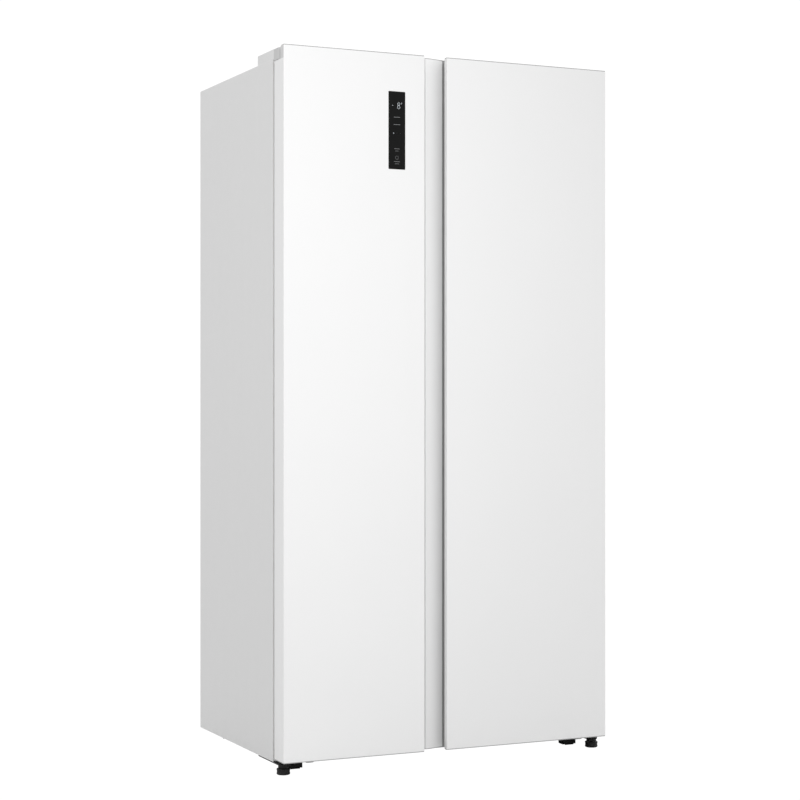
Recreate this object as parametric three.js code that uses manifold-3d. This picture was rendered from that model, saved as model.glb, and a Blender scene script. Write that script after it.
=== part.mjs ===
// Side by side refrigerator: a tall steel cabinet with a narrow freezer on the left and a wider
// fridge on the right, closed by two flat doors that share one full-height grip channel.
// Millimetres, +Z up, front towards -Y, origin on the floor under the middle of the object.
import * as THREE from 'three';
import { mergeVertices } from 'three/addons/utils/BufferGeometryUtils.js';
import Module from 'manifold-3d';

const wasm = await Module();
wasm.setup();

// ---------------------------------------------------------------- driving dimensions
const WIDTH = 910;
const DEPTH = 643;
const HEIGHT = 1786;
const GAP = 0.4;               // clearance between pieces that touch
const SHEET = 1.2;             // steel sheet
const PLASTIC = 2;             // moulded wall

const DOOR_THICK = 62;
const SEAL_GAP = 10;           // door back to cabinet front
const DOOR_BOTTOM = 34;
const CABINET_BOTTOM = 27;
const CABINET_TOP = HEIGHT - 25;
const REAR_BUMPER = 25;        // how far the rear bumpers stand off the back panel
const SIDE_WALL = 50;
const FLOOR_Z = 112;           // floor of both compartments
const CEILING_Z = 1706;
const STEP_Z = 300;            // shelf over the machine space at the back
const STEP_Y = 78;

const LIP_THICK = 15;          // front plate of the grip channel
const CHANNEL_DEPTH = 30;      // door front to channel floor at the meeting of the doors
const CHANNEL_FALL = 15;       // how much deeper the floor lies under the lip
const POCKET_WIDTH = 130;      // hinge pocket in the top corner of a door
const POCKET_FLOOR = 1753;
const CAP_HEIGHT = 20;
const PIVOT_INSET = 17;        // hinge pin to the side of the door
const PIVOT_DEPTH = 45;        // hinge pin to the door front
const PIN_RADIUS = 6;
const DYKE_DEPTH = 30;         // rim on the inner face of a door
const DYKE_THICK = 14;

// ---------------------------------------------------------------- derived places
const HALF_WIDTH = WIDTH / 2;
const FRONT_Y = -DEPTH / 2;
const DOOR_BACK_Y = FRONT_Y + DOOR_THICK;
const CABINET_FRONT_Y = DOOR_BACK_Y + SEAL_GAP;
const REAR_Y = DEPTH / 2;
const CABINET_BACK_Y = REAR_Y - REAR_BUMPER;
const PIVOT_Y = FRONT_Y + PIVOT_DEPTH;
const PIVOT_X = HALF_WIDTH - PIVOT_INSET;
const BACK_WALL_Y = CABINET_BACK_Y - 66;
const DRAWER_FRONT_Y = CABINET_FRONT_Y + 125;
const BASE_TOP = CABINET_BOTTOM + SHEET;

// side: -1 is the left door, +1 the right one. u is measured from the hinge edge of a door.
const DOORS = {
  left: { side: -1, lip: 381, undercut: 360, free: 392 },
  right: { side: 1, lip: 467, undercut: 452, free: 513.3 },
};
const FREEZER = { x0: -HALF_WIDTH + SIDE_WALL, x1: -89 };
const FRIDGE = { x0: -25, x1: HALF_WIDTH - SIDE_WALL };

// ---------------------------------------------------------------- materials
const material = (color, roughness, metalness = 0) =>
  new THREE.MeshStandardMaterial({ color, roughness, metalness });
const whitePaint = material(0xf2f2f1, 0.32);
const whitePlastic = material(0xf4f4f2, 0.4);
const innerPlastic = material(0xf7f8f8, 0.3);
const galvanised = material(0xb9bcbe, 0.45, 1);
const blackSteel = material(0x1c1c1d, 0.55, 0.6);
const blackPlastic = material(0x1a1a1b, 0.55);
const foam = material(0xe8dfae, 0.9);
const rubber = material(0xd9dadb, 0.7);
const glass = material(0xdfeef0, 0.05);
const clearPlastic = material(0xd8e6ee, 0.12);
const blackGlass = material(0x0b0c0d, 0.06);
const copper = material(0xb87446, 0.35, 1);
const aluminium = material(0xcfd2d4, 0.35, 1);

// ---------------------------------------------------------------- solids
const box = (x0, x1, y0, y1, z0, z1) =>
  new THREE.BoxGeometry(x1 - x0, y1 - y0, z1 - z0)
    .translate((x0 + x1) / 2, (y0 + y1) / 2, (z0 + z1) / 2);

const outline = (points) => new THREE.Shape(points.map(([a, b]) => new THREE.Vector2(a, b)));

// Prism over a plan (x, y).
const prismZ = (points, z0, z1) =>
  new THREE.ExtrudeGeometry(outline(points), { depth: z1 - z0, bevelEnabled: false })
    .translate(0, 0, z0);

// Prism of a side profile (y, z) along x.
const prismX = (points, x0, x1) =>
  new THREE.ExtrudeGeometry(outline(points), { depth: x1 - x0, bevelEnabled: false })
    .rotateX(Math.PI / 2)
    .rotateZ(Math.PI / 2)
    .translate(x0, 0, 0);

// Prism of a front outline (x, z) along y.
const prismY = (points, y0, y1) =>
  new THREE.ExtrudeGeometry(outline(points), { depth: y1 - y0, bevelEnabled: false })
    .rotateX(Math.PI / 2)
    .translate(0, y1, 0);

const ROUND = { z: (g) => g.rotateX(Math.PI / 2), x: (g) => g.rotateZ(Math.PI / 2), y: (g) => g };
const rod = (axis, radius, length, x, y, z, sides = 24) =>
  ROUND[axis](new THREE.CylinderGeometry(radius, radius, length, sides)).translate(x, y, z);

function solid(geometry) {
  if (geometry instanceof wasm.Manifold) return geometry;
  const bare = geometry.clone();
  bare.deleteAttribute('normal');
  bare.deleteAttribute('uv');
  bare.clearGroups();
  const merged = mergeVertices(bare, 1e-5);
  const mesh = new wasm.Mesh({
    numProp: 3,
    vertProperties: new Float32Array(merged.attributes.position.array),
    triVerts: new Uint32Array(merged.index.array),
  });
  return new wasm.Manifold(mesh);
}

const join = (...pieces) => pieces.map(solid).reduce((a, b) => a.add(b));
const cut = (base, ...tools) => tools.map(solid).reduce((a, b) => a.subtract(b), solid(base));

function geometryOf(shape) {
  if (shape instanceof THREE.BufferGeometry) return shape;
  const { vertProperties, triVerts, numProp } = shape.getMesh();
  const positions = new Float32Array((vertProperties.length / numProp) * 3);
  for (let i = 0; i < positions.length / 3; i += 1) {
    for (let k = 0; k < 3; k += 1) positions[3 * i + k] = vertProperties[numProp * i + k];
  }
  const geometry = new THREE.BufferGeometry();
  geometry.setAttribute('position', new THREE.BufferAttribute(positions, 3));
  geometry.setIndex(new THREE.BufferAttribute(new Uint32Array(triVerts), 1));
  geometry.computeVertexNormals();
  return geometry;
}

const refrigerator = new THREE.Group();
function add(parent, name, shape, look) {
  const mesh = new THREE.Mesh(geometryOf(shape), look);
  mesh.name = name;
  parent.add(mesh);
}

// Moves every edge of a closed straight-sided outline inwards by t.
function inset(points, t) {
  const area = points.reduce((sum, [x, y], i) => {
    const [nx, ny] = points[(i + 1) % points.length];
    return sum + x * ny - nx * y;
  }, 0);
  const turn = Math.sign(area);
  const normal = (a, b) => {
    const length = Math.hypot(b[0] - a[0], b[1] - a[1]);
    return [(-turn * (b[1] - a[1])) / length, (turn * (b[0] - a[0])) / length];
  };
  return points.map((p, i) => {
    const before = normal(points[(i + points.length - 1) % points.length], p);
    const after = normal(p, points[(i + 1) % points.length]);
    const reach = t / (1 + before[0] * after[0] + before[1] * after[1]);
    return [p[0] + reach * (before[0] + after[0]), p[1] + reach * (before[1] + after[1])];
  });
}

// ---------------------------------------------------------------- cabinet
// Side profile (y, z) of a compartment, grown outwards by t.
const compartment = (t, front) => [
  [front, FLOOR_Z - t],
  [STEP_Y + t, FLOOR_Z - t],
  [STEP_Y + t, STEP_Z - t],
  [BACK_WALL_Y + t, STEP_Z - t],
  [BACK_WALL_Y + t, CEILING_Z + t],
  [front, CEILING_Z + t],
];

function liner(space) {
  const front = CABINET_FRONT_Y + SHEET + GAP;
  const outer = prismX(compartment(PLASTIC, front), space.x0 - PLASTIC, space.x1 + PLASTIC);
  return cut(outer, prismX(compartment(0, front - 1), space.x0, space.x1));
}

function outerShell() {
  const inner = HALF_WIDTH - SHEET;
  return cut(
    box(-HALF_WIDTH, HALF_WIDTH, CABINET_FRONT_Y, CABINET_BACK_Y, CABINET_BOTTOM, CABINET_TOP),
    box(-inner, inner, CABINET_FRONT_Y - 1, CABINET_BACK_Y + 1, 0, CABINET_TOP - SHEET),
  );
}

function frontFrame() {
  const half = HALF_WIDTH - SHEET - GAP;
  const plate = box(-half, half, CABINET_FRONT_Y, CABINET_FRONT_Y + SHEET,
    BASE_TOP + GAP, CABINET_TOP - SHEET - GAP);
  const openings = [FREEZER, FRIDGE].map(({ x0, x1 }) =>
    box(x0, x1, CABINET_FRONT_Y - 1, CABINET_FRONT_Y + 2 * SHEET, FLOOR_Z, CEILING_Z));
  return cut(plate, ...openings);
}

const MACHINE_FRONT_Y = STEP_Y + 40;
const MACHINE_TOP = STEP_Z - 40;

function cabinetFoam() {
  const half = HALF_WIDTH - SHEET - GAP;
  const front = CABINET_FRONT_Y + SHEET + GAP;
  const block = box(-half, half, front, CABINET_BACK_Y - SHEET - GAP,
    BASE_TOP + GAP, CABINET_TOP - SHEET - GAP);
  const spaces = [FREEZER, FRIDGE].map(({ x0, x1 }) => {
    const t = PLASTIC + GAP;
    return prismX(compartment(t, front - 1), x0 - t, x1 + t);
  });
  const machineSpace = box(-half - 1, half + 1, MACHINE_FRONT_Y, REAR_Y, 0, MACHINE_TOP);
  return cut(block, ...spaces, machineSpace);
}

function backPanel() {
  const half = HALF_WIDTH - SHEET - GAP;
  return box(-half, half, CABINET_BACK_Y - SHEET, CABINET_BACK_Y, MACHINE_TOP + 14,
    CABINET_TOP - SHEET - GAP);
}

const REAR_ROLLER = { radius: 12.5, width: 28, inset: 62, y: CABINET_BACK_Y - 50 };
const FRONT_ROLLER = { radius: 8.5, width: 28, u: 63, z: 10.5, y: CABINET_FRONT_Y + 24 };

function basePlate() {
  const half = HALF_WIDTH - SHEET - GAP;
  const pieces = [box(-half, half, CABINET_FRONT_Y, CABINET_BACK_Y, CABINET_BOTTOM, BASE_TOP)];
  const bores = [];
  for (const side of [-1, 1]) {
    const x = side * (HALF_WIDTH - REAR_ROLLER.inset);
    for (const edge of [-1, 1]) {
      const tabX = x + edge * (REAR_ROLLER.width / 2 + 3);
      const { y, radius } = REAR_ROLLER;
      pieces.push(box(tabX - 1.5, tabX + 1.5, y - 12, y + 12, radius - 8, BASE_TOP));
      bores.push(rod('x', 4.5, 5, tabX, y, radius, 16));
    }
  }
  return cut(join(...pieces), ...bores);
}

function roller({ radius, width }, axleRadius, axleLength, x, y, z) {
  return join(rod('x', radius, width, x, y, z, 32), rod('x', axleRadius, axleLength, x, y, z, 12));
}

function cabinet() {
  const group = new THREE.Group();
  add(group, 'outer_shell', outerShell(), whitePaint);
  add(group, 'front_frame', frontFrame(), whitePaint);
  add(group, 'cabinet_foam', cabinetFoam(), foam);
  add(group, 'back_panel', backPanel(), galvanised);
  add(group, 'base_plate', basePlate(), galvanised);
  add(group, 'freezer_liner', liner(FREEZER), innerPlastic);
  add(group, 'fridge_liner', liner(FRIDGE), innerPlastic);
  return group;
}

// ---------------------------------------------------------------- machine space
function fanWheel(axis, radius, hub, width, blades, x, y, z) {
  const pieces = [new THREE.CylinderGeometry(hub, hub, width, 24)];
  for (let i = 0; i < blades; i += 1) {
    const blade = new THREE.BoxGeometry(radius - hub + 6, 1.6, radius * 0.5)
      .rotateX(0.5)
      .translate((radius + hub - 6) / 2, 0, 0)
      .rotateY((i * 2 * Math.PI) / blades);
    pieces.push(blade);
  }
  return ROUND[axis](geometryOf(join(...pieces))).translate(x, y, z);
}

const FAN = { x: -40, y: 208, z: 148, radius: 78 };

function fanShroud() {
  const { x, y, z, radius } = FAN;
  const plate = cut(box(x + 26, x + 30, MACHINE_FRONT_Y + 4, CABINET_BACK_Y - 4, BASE_TOP + GAP, 240),
    rod('x', radius + 4, 10, x + 28, y, z, 40));
  const arms = [0, 1].map((i) => new THREE.BoxGeometry(4, 2 * radius + 14, 9)
    .rotateX(Math.PI / 4 + (i * Math.PI) / 2).translate(x + 28, y, z));
  return join(plate, ...arms, rod('x', 24, 34, x + 43, y, z, 24));
}

function compressor() {
  const profile = [
    [0, 0], [58, 0], [72, 12], [76, 40], [76, 92], [70, 118], [52, 138], [22, 148], [0, 150],
  ].map(([r, h]) => new THREE.Vector2(r, h));
  const can = new THREE.LatheGeometry(profile, 32).rotateX(Math.PI / 2)
    .translate(-230, 205, 58);
  const plate = box(-325, -135, 150, 260, 54, 60);
  const legBottom = BASE_TOP + GAP;
  const legs = [[-312, 163], [-312, 247], [-148, 163], [-148, 247]]
    .map(([x, y]) => rod('z', 11, 55 - legBottom, x, y, (55 + legBottom) / 2, 16));
  return join(can, plate, ...legs);
}

// Flat serpentine of tube with upright bends, in the plane y = constant.
class Serpentine extends THREE.Curve {
  constructor(x0, x1, y, z0, pitch, passes) {
    super();
    Object.assign(this, { x0, x1, y, z0, pitch, passes });
    this.bend = (Math.PI * pitch) / 2;
    this.run = x1 - x0;
    this.total = passes * this.run + (passes - 1) * this.bend;
  }

  getPoint(t, target = new THREE.Vector3()) {
    const period = this.run + this.bend;
    const s = Math.min(t, 1) * this.total;
    const pass = Math.min(Math.floor(s / period), this.passes - 1);
    const along = s - pass * period;
    const forwards = pass % 2 === 0;
    const z = this.z0 + pass * this.pitch;
    if (along <= this.run) {
      return target.set(forwards ? this.x0 + along : this.x1 - along, this.y, z);
    }
    const angle = ((along - this.run) / this.bend) * Math.PI;
    const reach = (this.pitch / 2) * Math.sin(angle);
    const lift = (this.pitch / 2) * (1 - Math.cos(angle));
    return target.set(forwards ? this.x1 + reach : this.x0 - reach, this.y, z + lift);
  }
}

function tube(curve, radius, steps) {
  const section = new THREE.Shape();
  section.absarc(0, 0, radius, 0, 2 * Math.PI, false);
  return new THREE.ExtrudeGeometry(section, {
    extrudePath: curve, steps, curveSegments: 6, bevelEnabled: false,
  });
}

function machineCover() {
  const half = HALF_WIDTH - SHEET - GAP;
  const top = MACHINE_TOP + 14 - GAP;
  const y = CABINET_BACK_Y;
  const bumpers = [-380, 380].map((x) => box(x - 22, x + 22, y - SHEET, REAR_Y, 150, 210));
  const plate = join(box(-half, half, y - SHEET, y + SHEET, BASE_TOP + GAP + 1, top), ...bumpers);
  const slots = [];
  for (let column = 0; column < 4; column += 1) {
    for (let row = 0; row < 7; row += 1) {
      const x = -285 + column * 150;
      const z = 66 + row * 24;
      slots.push(box(x, x + 120, y - 5, y + 5, z, z + 8));
    }
  }
  return cut(plate, ...slots);
}

function powerInlet() {
  const y = CABINET_BACK_Y + SHEET + GAP;
  const body = box(300, 336, y, y + 16, 236, 262);
  return cut(body, box(306, 330, y + 5, y + 20, 241, 257));
}

function machineSpace() {
  const group = new THREE.Group();
  add(group, 'compressor', compressor(), blackSteel);
  add(group, 'condenser_coil', tube(new Serpentine(90, 350, 150, 86, 22, 7), 3.2, 84), copper);
  add(group, 'condenser_fan', fanWheel('x', FAN.radius, 20, 22, 5, FAN.x, FAN.y, FAN.z), blackPlastic);
  add(group, 'condenser_fan_mount', fanShroud(), blackPlastic);
  add(group, 'machine_cover', machineCover(), galvanised);
  add(group, 'power_inlet', powerInlet(), blackPlastic);
  return group;
}

// ---------------------------------------------------------------- cooling inside the freezer
const DUCT_Y = BACK_WALL_Y - 68;

function evaporator() {
  const x0 = FREEZER.x0 + 26;
  const x1 = FREEZER.x1 - 26;
  const y0 = DUCT_Y + 8;
  const y1 = BACK_WALL_Y - 8;
  const fins = [];
  for (let i = 0; i < 14; i += 1) {
    const x = x0 + ((x1 - x0 - 2) * i) / 13;
    fins.push(box(x, x + 2, y0, y1, 500, 760));
  }
  const tubes = [530, 630, 730].map((z) =>
    rod('x', 5, x1 - x0, (x0 + x1) / 2, (y0 + y1) / 2, z, 8));
  return join(...fins, ...tubes);
}

const FREEZER_FAN = { x: (FREEZER.x0 + FREEZER.x1) / 2, y: DUCT_Y + 20, z: 880, radius: 56 };

// Motor behind the fan, on two arms that stand off the duct panel.
function freezerFanMotor() {
  const { x, y, z, radius } = FREEZER_FAN;
  const reach = radius + 12;
  const arm = box(x - reach - 4, x + reach + 4, y + 14, y + 18, z - 8, z + 8);
  const feet = [-1, 1].map((side) =>
    box(x + side * reach - 4, x + side * reach + 4, DUCT_Y - 1, y + 16, z - 8, z + 8));
  return join(arm, ...feet, rod('y', 22, 18, x, y + 23, z, 24));
}

function freezerDuct() {
  const plate = box(FREEZER.x0 + 1, FREEZER.x1 - 1, DUCT_Y - 4, DUCT_Y, 380, CEILING_Z - 6);
  const holes = [];
  for (let i = 0; i < 5; i += 1) {
    const z = FREEZER_FAN.z - 44 + i * 20;
    holes.push(box(FREEZER_FAN.x - 48, FREEZER_FAN.x + 48, DUCT_Y - 9, DUCT_Y + 5, z, z + 9));
  }
  for (const z of [1040, 1290, 1540]) {
    for (const side of [-1, 1]) {
      const x = FREEZER_FAN.x + side * 78;
      holes.push(box(x - 42, x + 42, DUCT_Y - 9, DUCT_Y + 5, z, z + 14));
    }
  }
  return join(cut(plate, ...holes), freezerFanMotor());
}

function fridgeDuct() {
  const middle = (FRIDGE.x0 + FRIDGE.x1) / 2;
  const y1 = BACK_WALL_Y - GAP;
  const y0 = y1 - 24;
  const tower = cut(box(middle - 95, middle + 95, y0, y1, 560, 1660),
    box(middle - 92, middle + 92, y0 + 3, y1 + 1, 563, 1657));
  const slots = [];
  for (const z of [700, 960, 1220, 1480]) {
    for (const side of [-1, 1]) {
      const x = middle + side * 50;
      slots.push(box(x - 26, x + 26, y0 - 1, y0 + 4, z, z + 12));
    }
  }
  return cut(tower, ...slots);
}

// ---------------------------------------------------------------- shelves, drawers, lamps
function shelf(space, y1, z) {
  const y0 = DRAWER_FRONT_Y - 5;
  const plate = box(space.x0 + 1.5, space.x1 - 1.5, y0, y1, z, z + 4);
  const front = box(space.x0 + 1.5, space.x1 - 1.5, y0 - 6, y0 + 4, z - 6, z + 9);
  return join(plate, front);
}

function drawer(space, margin, y1, z0, z1) {
  const x0 = space.x0 + margin;
  const x1 = space.x1 - margin;
  const y0 = DRAWER_FRONT_Y;
  const bodyBox = box(x0, x1, y0, y1, z0, z1);
  const hollow = box(x0 + 3, x1 - 3, y0 + 4, y1 - 3, z0 + 3, z1 + 1);
  const handle = box((x0 + x1) / 2 - 60, (x0 + x1) / 2 + 60, y0 - 1, y0 + 1.6, z1 - 34, z1 - 14);
  return cut(bodyBox, hollow, handle);
}

const SHELF_BACK = { freezer: DUCT_Y - 8, fridge: BACK_WALL_Y - 30 };

function interior() {
  const group = new THREE.Group();
  const lower = STEP_Y - 4;
  [560, 940, 1330].forEach((z, i) =>
    add(group, `freezer_shelf_${i + 1}`, shelf(FREEZER, SHELF_BACK.freezer, z), glass));
  [560, 900, 1270].forEach((z, i) =>
    add(group, `fridge_shelf_${i + 1}`, shelf(FRIDGE, SHELF_BACK.fridge, z), glass));
  add(group, 'freezer_drawer_1', drawer(FREEZER, 8, lower, FLOOR_Z + 4, 302), clearPlastic);
  add(group, 'freezer_drawer_2', drawer(FREEZER, 8, SHELF_BACK.freezer, 312, 548), clearPlastic);
  add(group, 'fridge_crisper_1', drawer(FRIDGE, 8, lower, FLOOR_Z + 4, 302), clearPlastic);
  add(group, 'fridge_crisper_2', drawer(FRIDGE, 8, SHELF_BACK.fridge, 312, 545), clearPlastic);
  add(group, 'evaporator', evaporator(), aluminium);
  add(group, 'freezer_duct', freezerDuct(), innerPlastic);
  add(group, 'fridge_duct', fridgeDuct(), innerPlastic);
  const { x, y, z, radius } = FREEZER_FAN;
  add(group, 'evaporator_fan', fanWheel('y', radius, 14, 14, 5, x, y, z), whitePlastic);
  return group;
}

// ---------------------------------------------------------------- doors
const alongX = (side, u) => side * (HALF_WIDTH - u);
const alongY = (d) => FRONT_Y + d;
const place = (side, points) => points.map(([u, d]) => [alongX(side, u), alongY(d)]);

// Box given from the hinge edge (u) and from the door front (d).
function doorBox(side, u0, u1, d0, d1, z0, z1) {
  const xs = [alongX(side, u0), alongX(side, u1)];
  return box(Math.min(...xs), Math.max(...xs), alongY(d0), alongY(d1), z0, z1);
}

const doorPlan = ({ lip, undercut, free }, back = DOOR_THICK) => [
  [0, 0], [lip, 0], [lip, LIP_THICK], [undercut, LIP_THICK],
  [undercut, CHANNEL_DEPTH + CHANNEL_FALL], [free, CHANNEL_DEPTH], [free, back], [0, back],
];

// Painted sheet: hinge side, front, and the front plate of the grip channel.
function doorSkin({ side, lip, undercut }) {
  const t = SHEET;
  const plan = [
    [0, DOOR_THICK], [0, 0], [lip, 0], [lip, LIP_THICK], [undercut + 3, LIP_THICK],
    [undercut + 3, LIP_THICK - t], [lip - t, LIP_THICK - t], [lip - t, t], [t, t], [t, DOOR_THICK],
  ];
  const sheet = prismZ(place(side, plan), DOOR_BOTTOM, HEIGHT);
  return cut(sheet, doorBox(side, -1, POCKET_WIDTH, LIP_THICK, DOOR_THICK + 1, POCKET_FLOOR, HEIGHT + 1));
}

// Moulded edge strip: the hollow side and floor of the channel and the free end of the door.
function doorGrip({ side, undercut, free }) {
  const t = PLASTIC;
  const plan = [
    [undercut, LIP_THICK - t], [undercut, CHANNEL_DEPTH + CHANNEL_FALL], [free, CHANNEL_DEPTH],
    [free, DOOR_THICK - 3], [free - t, DOOR_THICK - 3], [free - t, CHANNEL_DEPTH + t],
    [undercut - t, CHANNEL_DEPTH + CHANNEL_FALL + t], [undercut - t, LIP_THICK - t],
  ];
  return prismZ(place(side, plan), DOOR_BOTTOM, HEIGHT);
}

const FILL = 2.6;              // distance from the outside of a door to its foam
const pinBore = (side, z0, z1) =>
  rod('z', PIN_RADIUS + 0.6, z1 - z0, side * PIVOT_X, PIVOT_Y, (z0 + z1) / 2, 24);

function doorFoam({ side, ...plan }) {
  return prismZ(place(side, inset(doorPlan(plan), FILL)),
    DOOR_BOTTOM + CAP_HEIGHT + GAP, POCKET_FLOOR - 12 - GAP);
}

function doorTopCap({ side, ...plan }) {
  const points = inset(doorPlan(plan, DOOR_THICK + FILL), FILL);
  const cap = prismZ(place(side, points), POCKET_FLOOR - 12, HEIGHT);
  return cut(cap,
    doorBox(side, -1, POCKET_WIDTH, LIP_THICK, DOOR_THICK + 1, POCKET_FLOOR, HEIGHT + 1),
    pinBore(side, POCKET_FLOOR - 20, HEIGHT));
}

function doorBottomCap({ side, ...plan }) {
  const points = inset(doorPlan(plan, DOOR_THICK + FILL), FILL);
  const cap = prismZ(place(side, points), DOOR_BOTTOM, DOOR_BOTTOM + CAP_HEIGHT);
  return cut(cap, pinBore(side, 0, DOOR_BOTTOM + CAP_HEIGHT + 1));
}

// The rim on the inner face fits inside the opening that it closes.
const rimOf = ({ side }) => (side < 0
  ? { x0: FREEZER.x0 + 10, x1: FREEZER.x1 - 14 } : { x0: FRIDGE.x0 + 14, x1: FRIDGE.x1 - 10 });
const RIM = { z0: FLOOR_Z + 12, z1: CEILING_Z - 12 };

function doorLiner({ side, free, ...rest }) {
  const y1 = DOOR_BACK_Y + DYKE_DEPTH;
  const { x0, x1 } = rimOf({ side, ...rest });
  const sheet = doorBox(side, FILL, free - FILL, DOOR_THICK - PLASTIC, DOOR_THICK,
    DOOR_BOTTOM + CAP_HEIGHT + GAP, POCKET_FLOOR - 12 - GAP);
  const rim = cut(box(x0, x1, DOOR_BACK_Y - 1, y1, RIM.z0, RIM.z1),
    box(x0 + DYKE_THICK, x1 - DYKE_THICK, DOOR_BACK_Y - 2, y1 + 1, RIM.z0 + DYKE_THICK,
      RIM.z1 - DYKE_THICK));
  return join(sheet, rim);
}

function doorGasket({ side }) {
  const y0 = DOOR_BACK_Y + GAP;
  const y1 = CABINET_FRONT_Y - GAP;
  const x0 = side < 0 ? -PIVOT_X + 3 : -48;
  const x1 = side < 0 ? -66 : PIVOT_X - 3;
  const wide = 19;
  return cut(box(x0, x1, y0, y1, 76, 1738),
    box(x0 + wide, x1 - wide, y0 - 1, y1 + 1, 76 + wide, 1738 - wide));
}

function doorBin({ side, ...rest }, z, height, depth) {
  const rim = rimOf({ side, ...rest });
  const x0 = rim.x0 + DYKE_THICK + GAP;
  const x1 = rim.x1 - DYKE_THICK - GAP;
  const y0 = DOOR_BACK_Y + GAP;
  const y1 = y0 + depth;
  return cut(box(x0, x1, y0, y1, z, z + height),
    box(x0 + 2.4, x1 - 2.4, y0 + 2.4, y1 - 2.4, z + 2.4, z + height + 1));
}

const DISPLAY = { u0: 281, u1: 326.6, z1: HEIGHT - 96, height: 194 };
const displayBox = (margin, d0, d1) => doorBox(-1, DISPLAY.u0 - margin, DISPLAY.u1 + margin, d0, d1,
  DISPLAY.z1 - DISPLAY.height - margin, DISPLAY.z1 + margin);

const BINS = {
  left: [[640, 100, 82], [980, 90, 82], [1300, 90, 82]],
  right: [[640, 120, 100], [1000, 100, 100], [1340, 90, 84]],
};

function door(name) {
  const plan = DOORS[name];
  const group = new THREE.Group();
  const skin = name === 'left' ? cut(doorSkin(plan), displayBox(0.3, -1, 3)) : doorSkin(plan);
  add(group, `${name}_door_skin`, skin, whitePaint);
  add(group, `${name}_door_grip`, doorGrip(plan), whitePlastic);
  add(group, `${name}_door_foam`, doorFoam(plan), foam);
  add(group, `${name}_door_liner`, doorLiner(plan), innerPlastic);
  add(group, `${name}_door_top_cap`, doorTopCap(plan), whitePlastic);
  add(group, `${name}_door_bottom_cap`, doorBottomCap(plan), whitePlastic);
  add(group, `${name}_door_gasket`, doorGasket(plan), rubber);
  BINS[name].forEach(([z, height, depth], i) =>
    add(group, `${name}_door_bin_${i + 1}`, doorBin(plan, z, height, depth), clearPlastic));
  if (name === 'left') add(group, 'display_glass', displayBox(0, 0.2, 2.2), blackGlass);
  return group;
}

// ---------------------------------------------------------------- hinges and feet
const ARC_SIDES = 16;
// Plan of a hinge leaf: a block on the cabinet and an arm that ends round the pin.
function hingePlan(side, blockWidth, blockBack, armReach, sideInset) {
  const points = [[sideInset, PIVOT_DEPTH]];
  for (let i = 0; i <= ARC_SIDES; i += 1) {
    const angle = Math.PI + (Math.PI * i) / ARC_SIDES;
    const spread = i < ARC_SIDES / 2 ? PIVOT_INSET - sideInset : armReach;
    points.push([PIVOT_INSET + spread * Math.cos(angle), PIVOT_DEPTH + armReach * Math.sin(angle)]);
  }
  const front = DOOR_THICK + SEAL_GAP + 1;
  points.push([PIVOT_INSET + armReach, front], [blockWidth, front], [blockWidth, blockBack],
    [sideInset, blockBack]);
  return place(side, points.slice(1));
}

const COVER = { width: 96, back: 184, reach: 18, inset: 1.6, top: HEIGHT - 1, skirt: 1.5 };
const LEAF = { width: 84, back: 170, reach: 14, inset: 5, thick: 3 };

function topHinge(side) {
  const z0 = CABINET_TOP + GAP;
  const leaf = prismZ(hingePlan(side, LEAF.width, LEAF.back, LEAF.reach, LEAF.inset), z0,
    z0 + LEAF.thick);
  const pinBottom = POCKET_FLOOR - 11;
  return join(leaf, rod('z', PIN_RADIUS, z0 + 5 - pinBottom, side * PIVOT_X, PIVOT_Y,
    (z0 + 5 + pinBottom) / 2, 24));
}

// Hollow cover. Its front arm reaches down to the floor of the door's pocket.
function hingeCover(side) {
  const outer = prismZ(hingePlan(side, COVER.width, COVER.back, COVER.reach, COVER.inset),
    POCKET_FLOOR + COVER.skirt, COVER.top);
  const inner = prismZ(hingePlan(side, COVER.width - 2, COVER.back - 2, COVER.reach - 2,
    COVER.inset + 2), POCKET_FLOOR, COVER.top - 2);
  const overCabinet = box(-HALF_WIDTH - 1, HALF_WIDTH + 1, CABINET_FRONT_Y - 1.5, REAR_Y,
    POCKET_FLOOR - 1, CABINET_TOP + GAP);
  return cut(outer, inner, overCabinet);
}

const FOOT = { radius: 16.8, height: 15, stem: 5, top: CABINET_BOTTOM - 4.6 };
const BRACKET_TOP = CABINET_BOTTOM - GAP;
const BRACKET_BOTTOM = BRACKET_TOP - 3.5;

const FORK = { reach: 15, back: 9, slant: 4, low: 5, sheet: 3, clear: 2, bore: 3.6 };
const APRON = { low: 3, shoulder: 13, taper: 7, thick: 2.5 };

// Folded fork under the leaf: two cheeks hold the roller's axle, a tapered apron closes the front.
function rollerFork(side) {
  const { u, width, y } = FRONT_ROLLER;
  const { reach, back, slant, low, sheet, clear } = FORK;
  const top = BRACKET_BOTTOM + 1;
  const outline = [[y - reach, low], [y + back, low], [y + back + slant, top], [y - reach, top]];
  const inner = width / 2 + clear;
  const cheeks = [inner, -inner - sheet].map((offset) => {
    const x = alongX(side, u) + offset;
    return prismX(outline, x, x + sheet);
  });
  const half = inner + sheet;
  const { shoulder, taper } = APRON;
  const front = [[-half, top], [-half, shoulder], [-half + taper, APRON.low],
    [half - taper, APRON.low], [half, shoulder], [half, top]];
  const apron = prismY(front.map(([a, b]) => [alongX(side, u) + a, b]), y - reach,
    y - reach + APRON.thick);
  return [apron, ...cheeks];
}

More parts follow.
